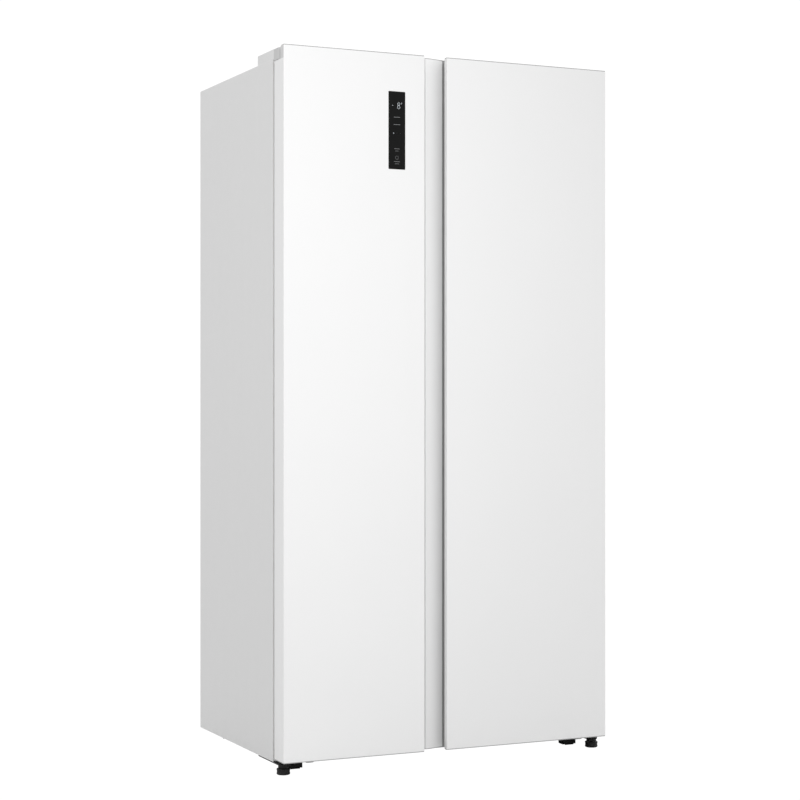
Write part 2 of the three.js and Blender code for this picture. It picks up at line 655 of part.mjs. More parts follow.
function bottomHinge(side) {
  const leaf = prismZ(hingePlan(side, 92, 180, 19, 3), BRACKET_BOTTOM, BRACKET_TOP);
  const pin = rod('z', PIN_RADIUS, 24, side * PIVOT_X, PIVOT_Y, BRACKET_TOP + 11, 24);
  const collar = rod('z', 10, 4, side * PIVOT_X, PIVOT_Y, BRACKET_TOP + 1.6, 24);
  const nut = rod('z', 13, 7, side * PIVOT_X, PIVOT_Y, BRACKET_BOTTOM - 3, 24);
  const frame = join(leaf, pin, collar, nut, ...rollerFork(side));
  const axleBore = rod('x', FORK.bore, FRONT_ROLLER.width + 20, alongX(side, FRONT_ROLLER.u),
    FRONT_ROLLER.y, FRONT_ROLLER.z, 16);
  const stemBore = rod('z', FOOT.stem + 0.5, 30, side * PIVOT_X, PIVOT_Y,
    BRACKET_BOTTOM - 15.2, 20);
  return cut(frame, axleBore, stemBore);
}

function foot(side) {
  const { radius, height, stem, top } = FOOT;
  const profile = [
    [0, 0], [radius - 2.5, 0], [radius, 3], [radius, height - 3], [radius - 1.5, height],
    [stem, height], [stem, top], [0, top],
  ].map(([r, h]) => new THREE.Vector2(r, h));
  return new THREE.LatheGeometry(profile, 32).rotateX(Math.PI / 2)
    .translate(side * PIVOT_X, PIVOT_Y, 0);
}

function undercarriage() {
  const group = new THREE.Group();
  for (const [name, side] of [['left', -1], ['right', 1]]) {
    const rearX = side * (HALF_WIDTH - REAR_ROLLER.inset);
    const frontX = alongX(side, FRONT_ROLLER.u);
    add(group, `${name}_top_hinge`, topHinge(side), galvanised);
    add(group, `${name}_hinge_cover`, hingeCover(side), whitePlastic);
    add(group, `${name}_bottom_hinge`, bottomHinge(side), blackSteel);
    add(group, `${name}_foot`, foot(side), blackPlastic);
    add(group, `${name}_front_roller`,
      roller(FRONT_ROLLER, 3, FRONT_ROLLER.width + 10, frontX, FRONT_ROLLER.y, FRONT_ROLLER.z),
      blackPlastic);
    add(group, `${name}_rear_roller`,
      roller(REAR_ROLLER, 4, REAR_ROLLER.width + 12, rearX, REAR_ROLLER.y, REAR_ROLLER.radius),
      blackPlastic);
  }
  return group;
}

refrigerator.add(cabinet(), machineSpace(), interior(), door('left'), door('right'), undercarriage());

export default refrigerator;
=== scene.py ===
"""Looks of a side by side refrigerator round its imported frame. Metres, +Z up, the doors face -Y."""
from math import atan2, cos, pi, radians, sin, tan

import bmesh
import bpy
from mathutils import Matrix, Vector


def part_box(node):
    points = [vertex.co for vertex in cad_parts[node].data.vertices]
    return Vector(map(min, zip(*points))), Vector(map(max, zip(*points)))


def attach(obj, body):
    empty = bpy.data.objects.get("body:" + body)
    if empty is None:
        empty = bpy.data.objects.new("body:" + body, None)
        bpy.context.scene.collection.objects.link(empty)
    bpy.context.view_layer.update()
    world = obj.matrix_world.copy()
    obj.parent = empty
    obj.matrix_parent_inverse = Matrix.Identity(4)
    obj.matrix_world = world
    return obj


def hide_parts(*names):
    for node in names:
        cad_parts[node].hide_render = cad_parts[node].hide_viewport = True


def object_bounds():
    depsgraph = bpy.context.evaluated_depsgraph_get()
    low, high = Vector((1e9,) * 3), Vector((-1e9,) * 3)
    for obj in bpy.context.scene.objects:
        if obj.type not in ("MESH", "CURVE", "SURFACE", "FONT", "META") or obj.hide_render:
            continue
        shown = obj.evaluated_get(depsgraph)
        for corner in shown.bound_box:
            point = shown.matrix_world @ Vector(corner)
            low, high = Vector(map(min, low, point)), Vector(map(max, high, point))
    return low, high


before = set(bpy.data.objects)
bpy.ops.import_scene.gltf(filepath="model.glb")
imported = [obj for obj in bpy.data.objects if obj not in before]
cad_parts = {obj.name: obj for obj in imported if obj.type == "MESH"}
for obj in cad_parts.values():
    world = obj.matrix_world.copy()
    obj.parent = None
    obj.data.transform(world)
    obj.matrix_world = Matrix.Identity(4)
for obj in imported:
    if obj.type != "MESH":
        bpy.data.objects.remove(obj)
CAD_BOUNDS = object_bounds()

MM = 0.001


def box(node):
    """Low and high corner of a CAD node's box, in millimetres."""
    return [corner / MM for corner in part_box(node)]


# Every shape below is drawn in millimetres; bare_object() brings it to metres.
HALF_WIDTH = CAD_BOUNDS[1].x / MM
FRONT_Y = CAD_BOUNDS[0].y / MM
TOP_Z = CAD_BOUNDS[1].z / MM


# ------------------------------------------------------------------ mesh tools
def rounded(corners, steps=6):
    """Closed outline from (a, b, radius) corners, each turned into an arc of that radius."""
    outline = []
    for i, (a, b, radius) in enumerate(corners):
        if radius <= 0:
            outline.append((a, b))
            continue
        corner = Vector((a, b))
        before = (Vector(corners[i - 1][:2]) - corner).normalized()
        after = (Vector(corners[(i + 1) % len(corners)][:2]) - corner).normalized()
        half = before.angle(after) / 2
        centre = corner + (before + after).normalized() * (radius / sin(half))
        start = corner + before * (radius / tan(half)) - centre
        end = corner + after * (radius / tan(half)) - centre
        first = atan2(start.y, start.x)
        sweep = (atan2(end.y, end.x) - first + pi) % (2 * pi) - pi
        for k in range(steps + 1):
            angle = first + sweep * k / steps
            outline.append((centre.x + radius * cos(angle), centre.y + radius * sin(angle)))
    return outline


def rectangle(a0, a1, b0, b1, radius, steps=6):
    return rounded([(a0, b0, radius), (a1, b0, radius), (a1, b1, radius), (a0, b1, radius)], steps)


# Where a flat outline (a, b) goes at height c along each axis.
TURN = {"x": lambda a, b, c: (c, a, b), "y": lambda a, b, c: (a, c, b), "z": lambda a, b, c: (a, b, c)}


def loft(rings, closed=False):
    """Skin over rings of points of equal length. It is capped at both ends unless it is closed."""
    bm = bmesh.new()
    rows = [[bm.verts.new(p) for p in ring] for ring in rings]
    count = len(rows[0])
    pairs = list(zip(rows, rows[1:]))
    if closed:
        pairs.append((rows[-1], rows[0]))
    for lower, upper in pairs:
        for i in range(count):
            j = (i + 1) % count
            bm.faces.new((lower[i], lower[j], upper[j], upper[i]))
    if not closed:
        bm.faces.new(rows[0])
        bm.faces.new(rows[-1])
    return bm


def prism(outline, low, high, axis="z"):
    place = TURN[axis]
    return loft([[place(a, b, low) for a, b in outline], [place(a, b, high) for a, b in outline]])


def slab(a0, a1, b0, b1, radius, low, high, axis="z", steps=6):
    """Round-cornered plate between two heights along its axis."""
    return prism(rectangle(a0, a1, b0, b1, radius, steps), low, high, axis)


def turned(profile, centre, axis="z", sides=48, ring_shaped=False):
    """Solid of revolution of (radius, height) points about an axis through centre."""
    place = TURN[axis]
    rings = []
    for radius, height in profile:
        ring = []
        for k in range(sides):
            angle = 2 * pi * k / sides
            a, b = max(radius, 0.01) * cos(angle), max(radius, 0.01) * sin(angle)
            ring.append(Vector(place(a, b, height)) + Vector(centre))
        rings.append(ring)
    return loft(rings, ring_shaped)


def smooth_path(points, steps=6):
    """Points on a smooth curve through the given ones."""
    path = [Vector(p) for p in points]
    ends = [2 * path[0] - path[1], *path, 2 * path[-1] - path[-2]]
    curve = []
    for p0, p1, p2, p3 in zip(ends, ends[1:], ends[2:], ends[3:]):
        for k in range(steps):
            t = k / steps
            curve.append(0.5 * (2 * p1 + (p2 - p0) * t + (2 * p0 - 5 * p1 + 4 * p2 - p3) * t ** 2
                                + (3 * p1 - p0 - 3 * p2 + p3) * t ** 3))
    curve.append(path[-1])
    return curve


def pipe(points, radius, sides=10, closed=False):
    """Round tube through a list of points."""
    path = [Vector(p) for p in points]
    count = len(path)
    rings = []
    side = None
    for i, point in enumerate(path):
        ahead = path[(i + 1) % count] if closed or i < count - 1 else point
        behind = path[i - 1] if closed or i > 0 else point
        along = (ahead - behind).normalized()
        if side is None:
            side = along.orthogonal().normalized()
        side = (side - along * side.dot(along)).normalized()
        up = along.cross(side)
        rings.append([point + radius * (cos(t) * side + sin(t) * up)
                      for t in (2 * pi * k / sides for k in range(sides))])
    return loft(rings, closed)


def block(lo, hi):
    return slab(lo[0], hi[0], lo[1], hi[1], 0, lo[2], hi[2])


def round_box(lo, hi, radius, steps=5):
    """Box with every edge and corner rounded."""
    bm = block(lo, hi)
    bmesh.ops.recalc_face_normals(bm, faces=bm.faces)
    bmesh.ops.bevel(bm, geom=bm.edges[:], offset=radius, segments=steps, profile=0.5, affect="EDGES")
    return bm


def merged(*parts):
    """One bmesh that holds several."""
    whole = bmesh.new()
    for bm in parts:
        mesh = bpy.data.meshes.new("part")
        bm.to_mesh(mesh)
        bm.free()
        whole.from_mesh(mesh)
        bpy.data.meshes.remove(mesh)
    return whole


def bare_object(name, bm):
    """Object in metres from a shape in millimetres."""
    bmesh.ops.scale(bm, vec=(MM, MM, MM), verts=bm.verts)
    bmesh.ops.recalc_face_normals(bm, faces=bm.faces)
    mesh = bpy.data.meshes.new(name)
    bm.to_mesh(mesh)
    bm.free()
    obj = bpy.data.objects.new(name, mesh)
    bpy.context.scene.collection.objects.link(obj)
    return obj


def carve(bm, *cutters):
    """bm with the cutters' solids taken out of it."""
    base = bare_object("carved", bm)
    for cutter in cutters:
        tool = bare_object("cutter", cutter)
        difference = base.modifiers.new("cut", "BOOLEAN")
        difference.operation = "DIFFERENCE"
        difference.solver = "EXACT"
        difference.object = tool
        result = bpy.data.meshes.new_from_object(
            base.evaluated_get(bpy.context.evaluated_depsgraph_get()))
        base.modifiers.clear()
        base.data = result
        bpy.data.objects.remove(tool)
    carved = bmesh.new()
    carved.from_mesh(base.data)
    bmesh.ops.scale(carved, vec=(1 / MM, 1 / MM, 1 / MM), verts=carved.verts)
    bpy.data.objects.remove(base)
    return carved


def finish(obj, material, rim, steps):
    """Material, smooth shading, and rims broken by a small round."""
    obj.data.materials.clear()
    obj.data.materials.append(material)
    obj.data.shade_smooth()
    obj.data.set_sharp_from_angle(angle=radians(35))
    if rim:
        bevel = obj.modifiers.new("rim", "BEVEL")
        bevel.width = rim * MM
        bevel.segments = steps
        bevel.limit_method = "ANGLE"
        bevel.angle_limit = radians(50)
        return bevel


def piece(name, bm, look, rim=0.0, steps=3, node="", body="cabinet"):
    """Finished object that rides on its body, and stands for a CAD node if one is given."""
    obj = bare_object(name, bm)
    material, slot = look
    bevel = finish(obj, material, rim, steps)
    if bevel:
        bevel.harden_normals = True
    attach(obj, body)
    if node:
        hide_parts(node)


def screws(name, spots):
    """Domed screw heads with a cross recess, on sheets that face the back."""
    radius, tall = 3.6, 3
    dome = [(0, -1.0), (1.0, -1.0), (1.0, 0.25), (0.86, 0.48), (0.55, 0.64), (0, 0.7)]
    dome = [(r * radius, h * tall) for r, h in dome]
    heads = merged(*(turned(dome, spot, "y", 20) for spot in spots))
    arm, slim = 0.62 * radius, 0.16 * radius
    slots = [merged(*(block((x - a, y + 0.9, z - b), (x + a, y + tall, z + b)) for x, y, z in spots))
             for a, b in ((arm, slim), (slim, arm))]
    piece(name, carve(heads, *slots), ZINC)


# ------------------------------------------------------------------ materials
def set_inputs(node, **values):
    """Constant values on a node's sockets; an underscore stands for a space in a socket's name."""
    for name, value in values.items():
        node.inputs[name.replace("_", " ")].default_value = value


def noise(material, scale, detail=3.0, stretch=(1, 1, 1)):
    """Noise over the object's own metres: scale is in features per metre."""
    nodes, links = material.node_tree.nodes, material.node_tree.links
    place = nodes.new("ShaderNodeTexCoord")
    mapping = nodes.new("ShaderNodeMapping")
    texture = nodes.new("ShaderNodeTexNoise")
    set_inputs(mapping, Scale=stretch)
    set_inputs(texture, Scale=scale, Detail=detail)
    links.new(place.outputs["Object"], mapping.inputs["Vector"])
    links.new(mapping.outputs["Vector"], texture.inputs["Vector"])
    return texture.outputs["Fac"]


def add_bump(material, depth, *pattern):
    """Relief of the given depth in metres."""
    nodes, links = material.node_tree.nodes, material.node_tree.links
    bump = nodes.new("ShaderNodeBump")
    set_inputs(bump, Distance=depth)
    links.new(noise(material, *pattern), bump.inputs["Height"])
    links.new(bump.outputs["Normal"], nodes["Principled BSDF"].inputs["Normal"])


def vary_roughness(material, low, high, *pattern):
    """Roughness that wanders between low and high over the surface."""
    nodes, links = material.node_tree.nodes, material.node_tree.links
    spread = nodes.new("ShaderNodeMapRange")
    set_inputs(spread, From_Min=0.3, From_Max=0.7, To_Min=low, To_Max=high)
    links.new(noise(material, *pattern), spread.inputs["Value"])
    links.new(spread.outputs["Result"], nodes["Principled BSDF"].inputs["Roughness"])


def mottle(material, other, *pattern):
    """Colour that wanders between the base colour and another."""
    nodes, links = material.node_tree.nodes, material.node_tree.links
    base = nodes["Principled BSDF"].inputs["Base Color"]
    mix = nodes.new("ShaderNodeMix")
    mix.data_type = "RGBA"
    set_inputs(mix, A=base.default_value, B=(*other, 1))
    links.new(noise(material, *pattern), mix.inputs["Factor"])
    links.new(mix.outputs["Result"], base)


def grey(level):
    return (level, level, level)


def look(slot, name, colour, roughness, mottled, varied, bumped, **settings):
    """Slot and material, from the shader's values and what mottle, vary_roughness and add_bump take."""
    material = bpy.data.materials.new(name)
    material.use_nodes = True
    principled = material.node_tree.nodes["Principled BSDF"]
    set_inputs(principled, Base_Color=(*colour, 1), Roughness=roughness, **settings)
    if mottled:
        mottle(material, *mottled)
    vary_roughness(material, *varied)
    if bumped:
        add_bump(material, *bumped)
    return material, slot


def cover_plastic(name, level):
    """Plain moulding of the hinge covers and of the lips in front of them."""
    return look("white_plastic", name, grey(level), 0.5, (grey(level - 0.03), 25), (0.44, 0.56, 70),
                (0.00002, 800), Specular_IOR_Level=0.4)


def lit_symbol(name, level, strength):
    return look("display_glass", name, grey(level), 0.5, None, (0.45, 0.55, 200), (0.000005, 2000),
                Emission_Color=(0.86, 0.93, 1.0, 1), Emission_Strength=strength)


ENAMEL = look("white_paint", "satin_enamel", grey(0.86), 0.36, (grey(0.845), 3.5, 2), (0.33, 0.40, 30),
              (0.00001, 420, 2), Specular_IOR_Level=0.5, Coat_Weight=0.12, Coat_Roughness=0.18)
# Coil-coated sheet: a slightly coarser skin with a faint upright grain.
SIDE_ENAMEL = look("white_paint", "cabinet_enamel", grey(0.735), 0.42, (grey(0.725), 5, 3, (6, 6, 0.4)),
                   (0.38, 0.47, 40), (0.000015, 700, 3, (1, 1, 0.5)), Specular_IOR_Level=0.45)
# White plastic of the channel strip, a brighter copy of the enamel: the extra white is painted light
# that lifts the shaded channel floor.
STRIP_WHITE_PAINTED_LIGHT = look("white_plastic", "strip_plastic_painted_light", grey(0.91), 0.38, (grey(0.895), 6), (0.34, 0.42, 50),
             (0.00001, 700, 2), Specular_IOR_Level=0.45)
WHITE = look("white_plastic", "white_plastic", grey(0.85), 0.42, (grey(0.835), 8), (0.38, 0.46, 60),
             (0.00001, 900), Specular_IOR_Level=0.45)
# Grey of the end caps and door stops, darker than the caps' own plastic: partly their grey, partly
# painted shade that draws the dark line along the door tops and bottoms.
CAP_GREY_AND_EDGE_SHADE = look("white_plastic", "cap_plastic_and_edge_shade", grey(0.42), 0.5, (grey(0.39), 20), (0.45, 0.55, 80),
           (0.00002, 900))
# Dark grey moulding set in the hollow behind a lip, with a fine grain: its grey is painted shade that
# darkens the hollow.
HOLLOW_SHADE_GREY = look("white_plastic", "hollow_shade_grey_plastic", grey(0.36), 0.55, (grey(0.33), 30), (0.5, 0.62, 90),
            (0.00004, 1200), Specular_IOR_Level=0.35)
COVER = cover_plastic("cover_plastic", 0.77)
LIP = cover_plastic("lip_plastic", 0.68)
KNUCKLE = cover_plastic("knuckle_plastic", 0.60)
INNER = look("inner_plastic", "liner_plastic", (0.86, 0.87, 0.87), 0.3, ((0.845, 0.86, 0.865), 6),
             (0.3, 0.32, 12, 1), None, Specular_IOR_Level=0.5)
CLEAR = look("clear_plastic", "clear_plastic", (0.93, 0.96, 0.98), 0.08, None, (0.05, 0.11, 30),
             (0.00001, 160, 2), Transmission_Weight=0.92, IOR=1.5)
GLASS = look("shelf_glass", "shelf_glass", (0.90, 0.97, 0.95), 0.03, None, (0.015, 0.05, 12),
             (0.00001, 60, 1), Transmission_Weight=0.95, IOR=1.5)
RUBBER = look("gasket_rubber", "gasket_rubber", grey(0.78), 0.6, (grey(0.75), 40), (0.52, 0.68, 70),
              (0.00003, 800), Specular_IOR_Level=0.3)
# Zinc-coated sheet: cold grey with the large soft spangles of the coating.
ZINC = look("galvanised_steel", "galvanised_sheet", (0.55, 0.57, 0.58), 0.42,
            ((0.42, 0.44, 0.455), 45, 4), (0.32, 0.52, 70), (0.00002, 200), Metallic=1.0)
BLACK = look("black_plastic", "black_plastic", grey(0.008), 0.42, (grey(0.013), 60), (0.34, 0.5, 90),
             (0.00003, 1100), Specular_IOR_Level=0.28)
BLACK_STEEL = look("black_steel", "black_enamel", grey(0.007), 0.4, (grey(0.012), 30),
                   (0.34, 0.5, 60), (0.00003, 300), Specular_IOR_Level=0.2)
BLACK_GLASS = look("display_glass", "display_black", grey(0.006), 0.09, (grey(0.009), 30, 2),
                   (0.05, 0.1, 15), (0.000005, 120, 1), Specular_IOR_Level=0.08)
BRIGHT = lit_symbol("bright_symbol", 0.35, 0.5)
DIM = lit_symbol("dim_symbol", 0.2, 0.06)
FAINT = lit_symbol("faint_symbol", 0.05, 0.01)
LENS_GLOW = look("clear_plastic", "lamp_lens", (0.93, 0.96, 0.98), 0.4, None, (0.35, 0.48, 60),
                 (0.00003, 500), Emission_Color=(0.93, 0.97, 1.0, 1), Emission_Strength=7)
# Brushed aluminium strip: fine lines along the shelf.
TRIM = look("aluminium", "bright_trim", (0.78, 0.79, 0.80), 0.28,
            ((0.70, 0.71, 0.72), 90, 2, (0.05, 1, 1)), (0.22, 0.36, 150, 2, (0.05, 1, 1)),
            (0.00001, 600, 2, (0.03, 1, 1)), Metallic=1.0)
COPPER = look("copper", "copper_tube", (0.72, 0.36, 0.22), 0.35, ((0.38, 0.19, 0.12), 25, 4),
              (0.28, 0.5, 40), (0.00003, 300), Metallic=1.0)
FINS = look("aluminium", "fin_aluminium", (0.80, 0.81, 0.83), 0.32, ((0.70, 0.71, 0.73), 35),
            (0.26, 0.42, 60, 3, (1, 1, 4)), (0.00002, 400, 3, (1, 1, 5)), Metallic=1.0)
FOAM = look("foam", "blown_foam", (0.80, 0.72, 0.45), 0.9, ((0.68, 0.60, 0.36), 60, 5),
            (0.8, 0.95, 40), (0.0003, 350, 4))


# ------------------------------------------------------------------ doors
LIP_THICK = 15
CHANNEL_DEPTH = 30
CHANNEL_FALL = 15
FREE_ROUND = 3            # round of the strip's free end
DOOR_THICK = 62
SHEET = 1.2
EDGE_ROUND = 1.8
CAP_BAND = 2              # how much of an end cap shows past the painted sheet
RIM_EDGE = 14.4                # from the bins out to the rim round them
POCKET_WIDTH = 130
POCKET_FLOOR = TOP_Z - 33
POCKET_WALL = 24          # back of the moulded lip in front of the hinge pocket
PIVOT_INSET = 17
PIVOT_Y = FRONT_Y + 45
PIN_RADIUS = 6


class Door:
    """One door, with lengths measured from its hinge edge (u) and its front (d)."""

    def __init__(self, name, side):
        self.name = name
        self.side = side
        self.body = f"{name}_door"
        skin = box(f"{name}_door_skin")
        grip = box(f"{name}_door_grip")
        self.bottom = skin[0].z
        inner, outer = (1, 0) if side < 0 else (0, 1)
        self.lip = HALF_WIDTH - side * skin[inner].x
        self.free = HALF_WIDTH - side * grip[inner].x
        self.undercut = HALF_WIDTH - side * grip[outer].x + 2

    def piece(self, name, bm, look, rim=0.0, steps=3, node=""):
        """Piece on this door, named after it, in place of one of its CAD nodes if one is given."""
        piece(f"{self.name}_{name}", bm, look, rim, steps, node and f"{self.body}_{node}", self.body)

    def across(self, u):
        return self.side * (HALF_WIDTH - u)

    def plan(self, corners, steps=6):
        """Outline in x and y from (u, d, radius) corners."""
        return rounded([(self.across(u), FRONT_Y + d, r) for u, d, r in corners], steps)

    def section(self, inset, notched):
        """The door's own plan, moved inwards, with or without the notch of its hinge pocket."""
        lip, cut, free, back = self.lip, self.undercut, self.free, DOOR_THICK
        corners = [(inset, inset, EDGE_ROUND), (lip - inset, inset, EDGE_ROUND),
                   (lip - inset, LIP_THICK - inset, 2), (cut - inset, LIP_THICK - inset, 2),
                   (cut - inset, CHANNEL_DEPTH + CHANNEL_FALL + inset, 6)]
        corners += [(u, channel_floor(self, u) + inset, 0) for u in reversed(self.wave(cut + 7))]
        corners += [(free - inset, CHANNEL_DEPTH + inset, FREE_ROUND), (free - inset, back - inset, 1)]
        if notched:
            corners += [(POCKET_WIDTH, back - inset, 1), (POCKET_WIDTH, LIP_THICK, 4),
                        (inset, LIP_THICK, 0)]
        else:
            corners.append((inset, back - inset, 1))
        return self.plan(corners)

    def wave(self, end, steps=16):
        """Distances from the round at the free end to the given end of the channel floor."""
        first = self.free - FREE_ROUND - 2
        return [first + (end - first) * k / steps for k in range(steps + 1)]

    def pocket(self):
        xs = sorted((self.across(-5), self.across(POCKET_WIDTH)))
        return block((xs[0], FRONT_Y + EDGE_ROUND + 0.4, POCKET_FLOOR),
                     (xs[1], FRONT_Y + DOOR_THICK + 5, TOP_Z + 5))

    def pin_bore(self, z0, z1):
        return turned([(PIN_RADIUS + 0.8, z0), (PIN_RADIUS + 0.8, z1)],
                      (self.across(PIVOT_INSET), PIVOT_Y, 0))


LEFT, RIGHT = Door("left", -1), Door("right", 1)
DISPLAY_LO, DISPLAY_HI = box("display_glass")


def door_panel(door):
    """Painted sheet folded round the hinge side, the front and the front plate of the channel."""
    t = SHEET
    back = DOOR_THICK
    lip, cut = door.lip, door.undercut
    tip = cut + 1
    corners = [(0, back, 0), (0, 0, EDGE_ROUND), (lip, 0, EDGE_ROUND), (lip, LIP_THICK, 2),
               (tip, LIP_THICK, 0), (tip, LIP_THICK - t, 0), (lip - t, LIP_THICK - t, 0.8),
               (lip - t, t, EDGE_ROUND - t), (t, t, EDGE_ROUND - t), (t, back, 0)]
    sheet = prism(door.plan(corners), door.bottom + CAP_BAND, TOP_Z - CAP_BAND)
    cutters = [door.pocket()]
    if door is LEFT:
        gap = 0.35
        cutters.append(slab(DISPLAY_LO.x - gap, DISPLAY_HI.x + gap, DISPLAY_LO.z - gap,
                            DISPLAY_HI.z + gap, 2.4, FRONT_Y - 5, FRONT_Y + 5, "y"))
    door.piece("door_front", carve(sheet, *cutters), ENAMEL, 0.4, 2, "skin")


def channel_floor(door, u):
    """Depth of the channel floor: flat at the free end, it falls ever faster to the hollow."""
    first = door.free - FREE_ROUND
    share = (first - u) / (first - door.undercut)
    return CHANNEL_DEPTH + CHANNEL_FALL * max(share, 0) ** 1.2


def channel_strip(door):
    """White strip on the channel floor and the door's free end, and a grey moulding whose grey is
    painted shade in the hollow under the lip.
    """
    t = 2
    back = DOOR_THICK - 3
    free, cut = door.free, door.undercut
    split = cut + 7
    z0 = door.bottom + CAP_BAND
    z1 = TOP_Z - CAP_BAND
    wave = door.wave(split)
    corners = [(u, channel_floor(door, u), 0) for u in reversed(wave)]
    corners += [(free, CHANNEL_DEPTH, FREE_ROUND), (free, back, 0), (free - t, back, 0),
                (free - t, CHANNEL_DEPTH + t, FREE_ROUND - t)]
    corners += [(u, channel_floor(door, u) + t, 0) for u in wave]
    # The strip's extra white over the enamel is painted light on the shaded channel floor.
    door.piece("channel_strip", prism(door.plan(corners), z0, z1), STRIP_WHITE_PAINTED_LIGHT, node="grip")
    mouth = LIP_THICK - SHEET - 0.3
    deep = channel_floor(door, cut)
    edge = split - 0.2
    corners = [(cut, mouth, 0), (cut, deep, 5.5), (edge, deep, 0), (edge, deep + t, 0),
               (cut - t, deep + t, 7.5), (cut - t, mouth, 0)]
    # The moulding's grey is painted shade for the hollow behind the lip.
    door.piece("hollow_shade_moulding", prism(door.plan(corners, 12), z0, z1), HOLLOW_SHADE_GREY)


def end_caps(door):
    """Top and bottom caps. Only a thin band of each shows past the sheet, and the hinge pocket."""
    inset = SHEET + 0.3
    band = 0.5
    top = merged(prism(door.section(inset, False), POCKET_FLOOR - 12, POCKET_FLOOR),
                 prism(door.section(inset, True), POCKET_FLOOR + 0.01, TOP_Z - CAP_BAND),
                 prism(door.section(band, True), TOP_Z - CAP_BAND + 0.01, TOP_Z))
    bore = door.pin_bore(POCKET_FLOOR - 20, POCKET_FLOOR + 5)
    door.piece("top_cap", carve(top, bore), CAP_GREY_AND_EDGE_SHADE, 0.5, 2, "top_cap")
    bottom = merged(prism(door.section(band, False), door.bottom, door.bottom + CAP_BAND - 0.01),
                    prism(door.section(inset, False), door.bottom + CAP_BAND, door.bottom + 20))
    bore = door.pin_bore(0, door.bottom + 30)
    door.piece("bottom_cap", carve(bottom, bore), CAP_GREY_AND_EDGE_SHADE, 0.5, 2, "bottom_cap")


def hinge_lip(door):
    """Moulded wall in front of the hinge pocket: rounded at its rear edge, filleted at its foot.

    Its hinge end is cut off at a slant, so that it passes the hinge cover when the door opens.
    """
    front = FRONT_Y + EDGE_ROUND + 0.6
    back = FRONT_Y + POCKET_WALL
    low, top = POCKET_FLOOR + 0.3, TOP_Z - 0.3
    profile = rounded([(front, low - 2, 0), (back + 8, low - 2, 0), (back + 8, low, 0),
                       (back, low, 5), (back, top, 8.5), (front, top, 0.5)])
    xs = sorted((door.across(0.4), door.across(POCKET_WIDTH + 0.5)))
    slant = [(door.across(-1), FRONT_Y + 21.6), (door.across(24), FRONT_Y + 30.4),
             (door.across(24), FRONT_Y + 40), (door.across(-1), FRONT_Y + 40)]
    wall = carve(prism(profile, *xs, "x"), prism(slant, low + 0.1, top + 1))
    door.piece("hinge_lip", wall, LIP, 0.5, 2)


def frame_sweep(x0, x1, z0, z1, profile):
    """Section (inward offset, y) swept round an upright rectangle with mitred corners."""
    rings = []
    for x, z, dx, dz in ((x0, z0, 1, 1), (x1, z0, -1, 1), (x1, z1, -1, -1), (x0, z1, 1, -1)):
        rings.append([(x + dx * o, y, z + dz * o) for o, y in profile])
    return loft(rings, closed=True)


def gasket(door):
    """Magnetic seal: a soft bulb with bellows folds and a flat lip on each side."""
    lo, hi = box(f"{door.name}_door_gasket")
    deep = hi.y - lo.y
    shape = [(0.0, 0.0), (1.0, 0.0), (1.0, 0.14), (0.86, 0.2), (0.92, 0.38), (0.82, 0.5), (0.94, 0.66),
             (0.97, 0.9), (0.9, 1.0), (0.12, 1.0), (0.04, 0.9), (0.07, 0.66), (0.2, 0.5), (0.09, 0.38),
             (0.15, 0.2), (0.0, 0.14)]
    wide = 19
    profile = [(wide * o, lo.y + deep * y) for o, y in shape]
    seal = frame_sweep(lo.x, hi.x, lo.z, hi.z, profile)
    door.piece("seal", seal, RUBBER, 0.4, 2, "gasket")


def door_inner(door):
    """Vacuum-formed inner sheet with a raised, rounded rim round the bins."""
    lo, hi = box(f"{door.name}_door_liner")
    y0 = FRONT_Y + DOOR_THICK - 2
    y1 = y0 + 2
    wide = 14
    sheet = slab(lo.x, hi.x, lo.z, hi.z, 2, y0, y1, "y")
    deep = hi.y - 0.4
    profile = [(0, y1 - 0.5), (1.2, y1 + 3), (2.4, deep - 4), (3.6, deep - 1.2), (5.6, deep), (9, deep),
               (11.2, deep - 1.2), (12.2, deep - 4), (13, y1 + 3), (wide, y1 - 0.5)]
    bin_lo, bin_hi = box(f"{door.body}_bin_1")
    tub_lo, tub_hi = box("freezer_liner")
    rim = frame_sweep(bin_lo.x - RIM_EDGE, bin_hi.x + RIM_EDGE, tub_lo.z + 14, tub_hi.z - 14, profile)
    door.piece("inner", merged(sheet, rim), INNER, 0.8, 3, "liner")


def tray_rings(lo, hi, wall, corner, foot, flare=0.0, lip=0.0):
    """Rings of an open box: out and up the outside, over the rim, and down the inside."""
    def ring(inset, z):
        radius = max(corner - inset, 0.4)
        return [(x, y, z) for x, y in rectangle(lo.x + inset, hi.x - inset, lo.y + inset,
                                                hi.y - inset, radius, 5)]
    quarter = [pi / 2 * k / 4 for k in range(5)]
    tall = hi.z - lo.z
    rings = [ring(flare + foot * (1 - sin(t)), lo.z + foot * (1 - cos(t))) for t in quarter]
    rings.append(ring(lip, hi.z - 6 if lip else lo.z + tall * 0.9))
    if lip:
        rings += [ring(0, hi.z - 5), ring(0, hi.z - 0.6)]
    rings += [ring(0.6, hi.z), ring(wall + lip - 0.6, hi.z), ring(wall + lip, hi.z - 0.6)]
    inner = max(foot - wall, 0.5)
    rings += [ring(wall + flare + inner * (1 - sin(t)),
                   lo.z + wall + inner * (1 - cos(t))) for t in reversed(quarter)]
    return rings


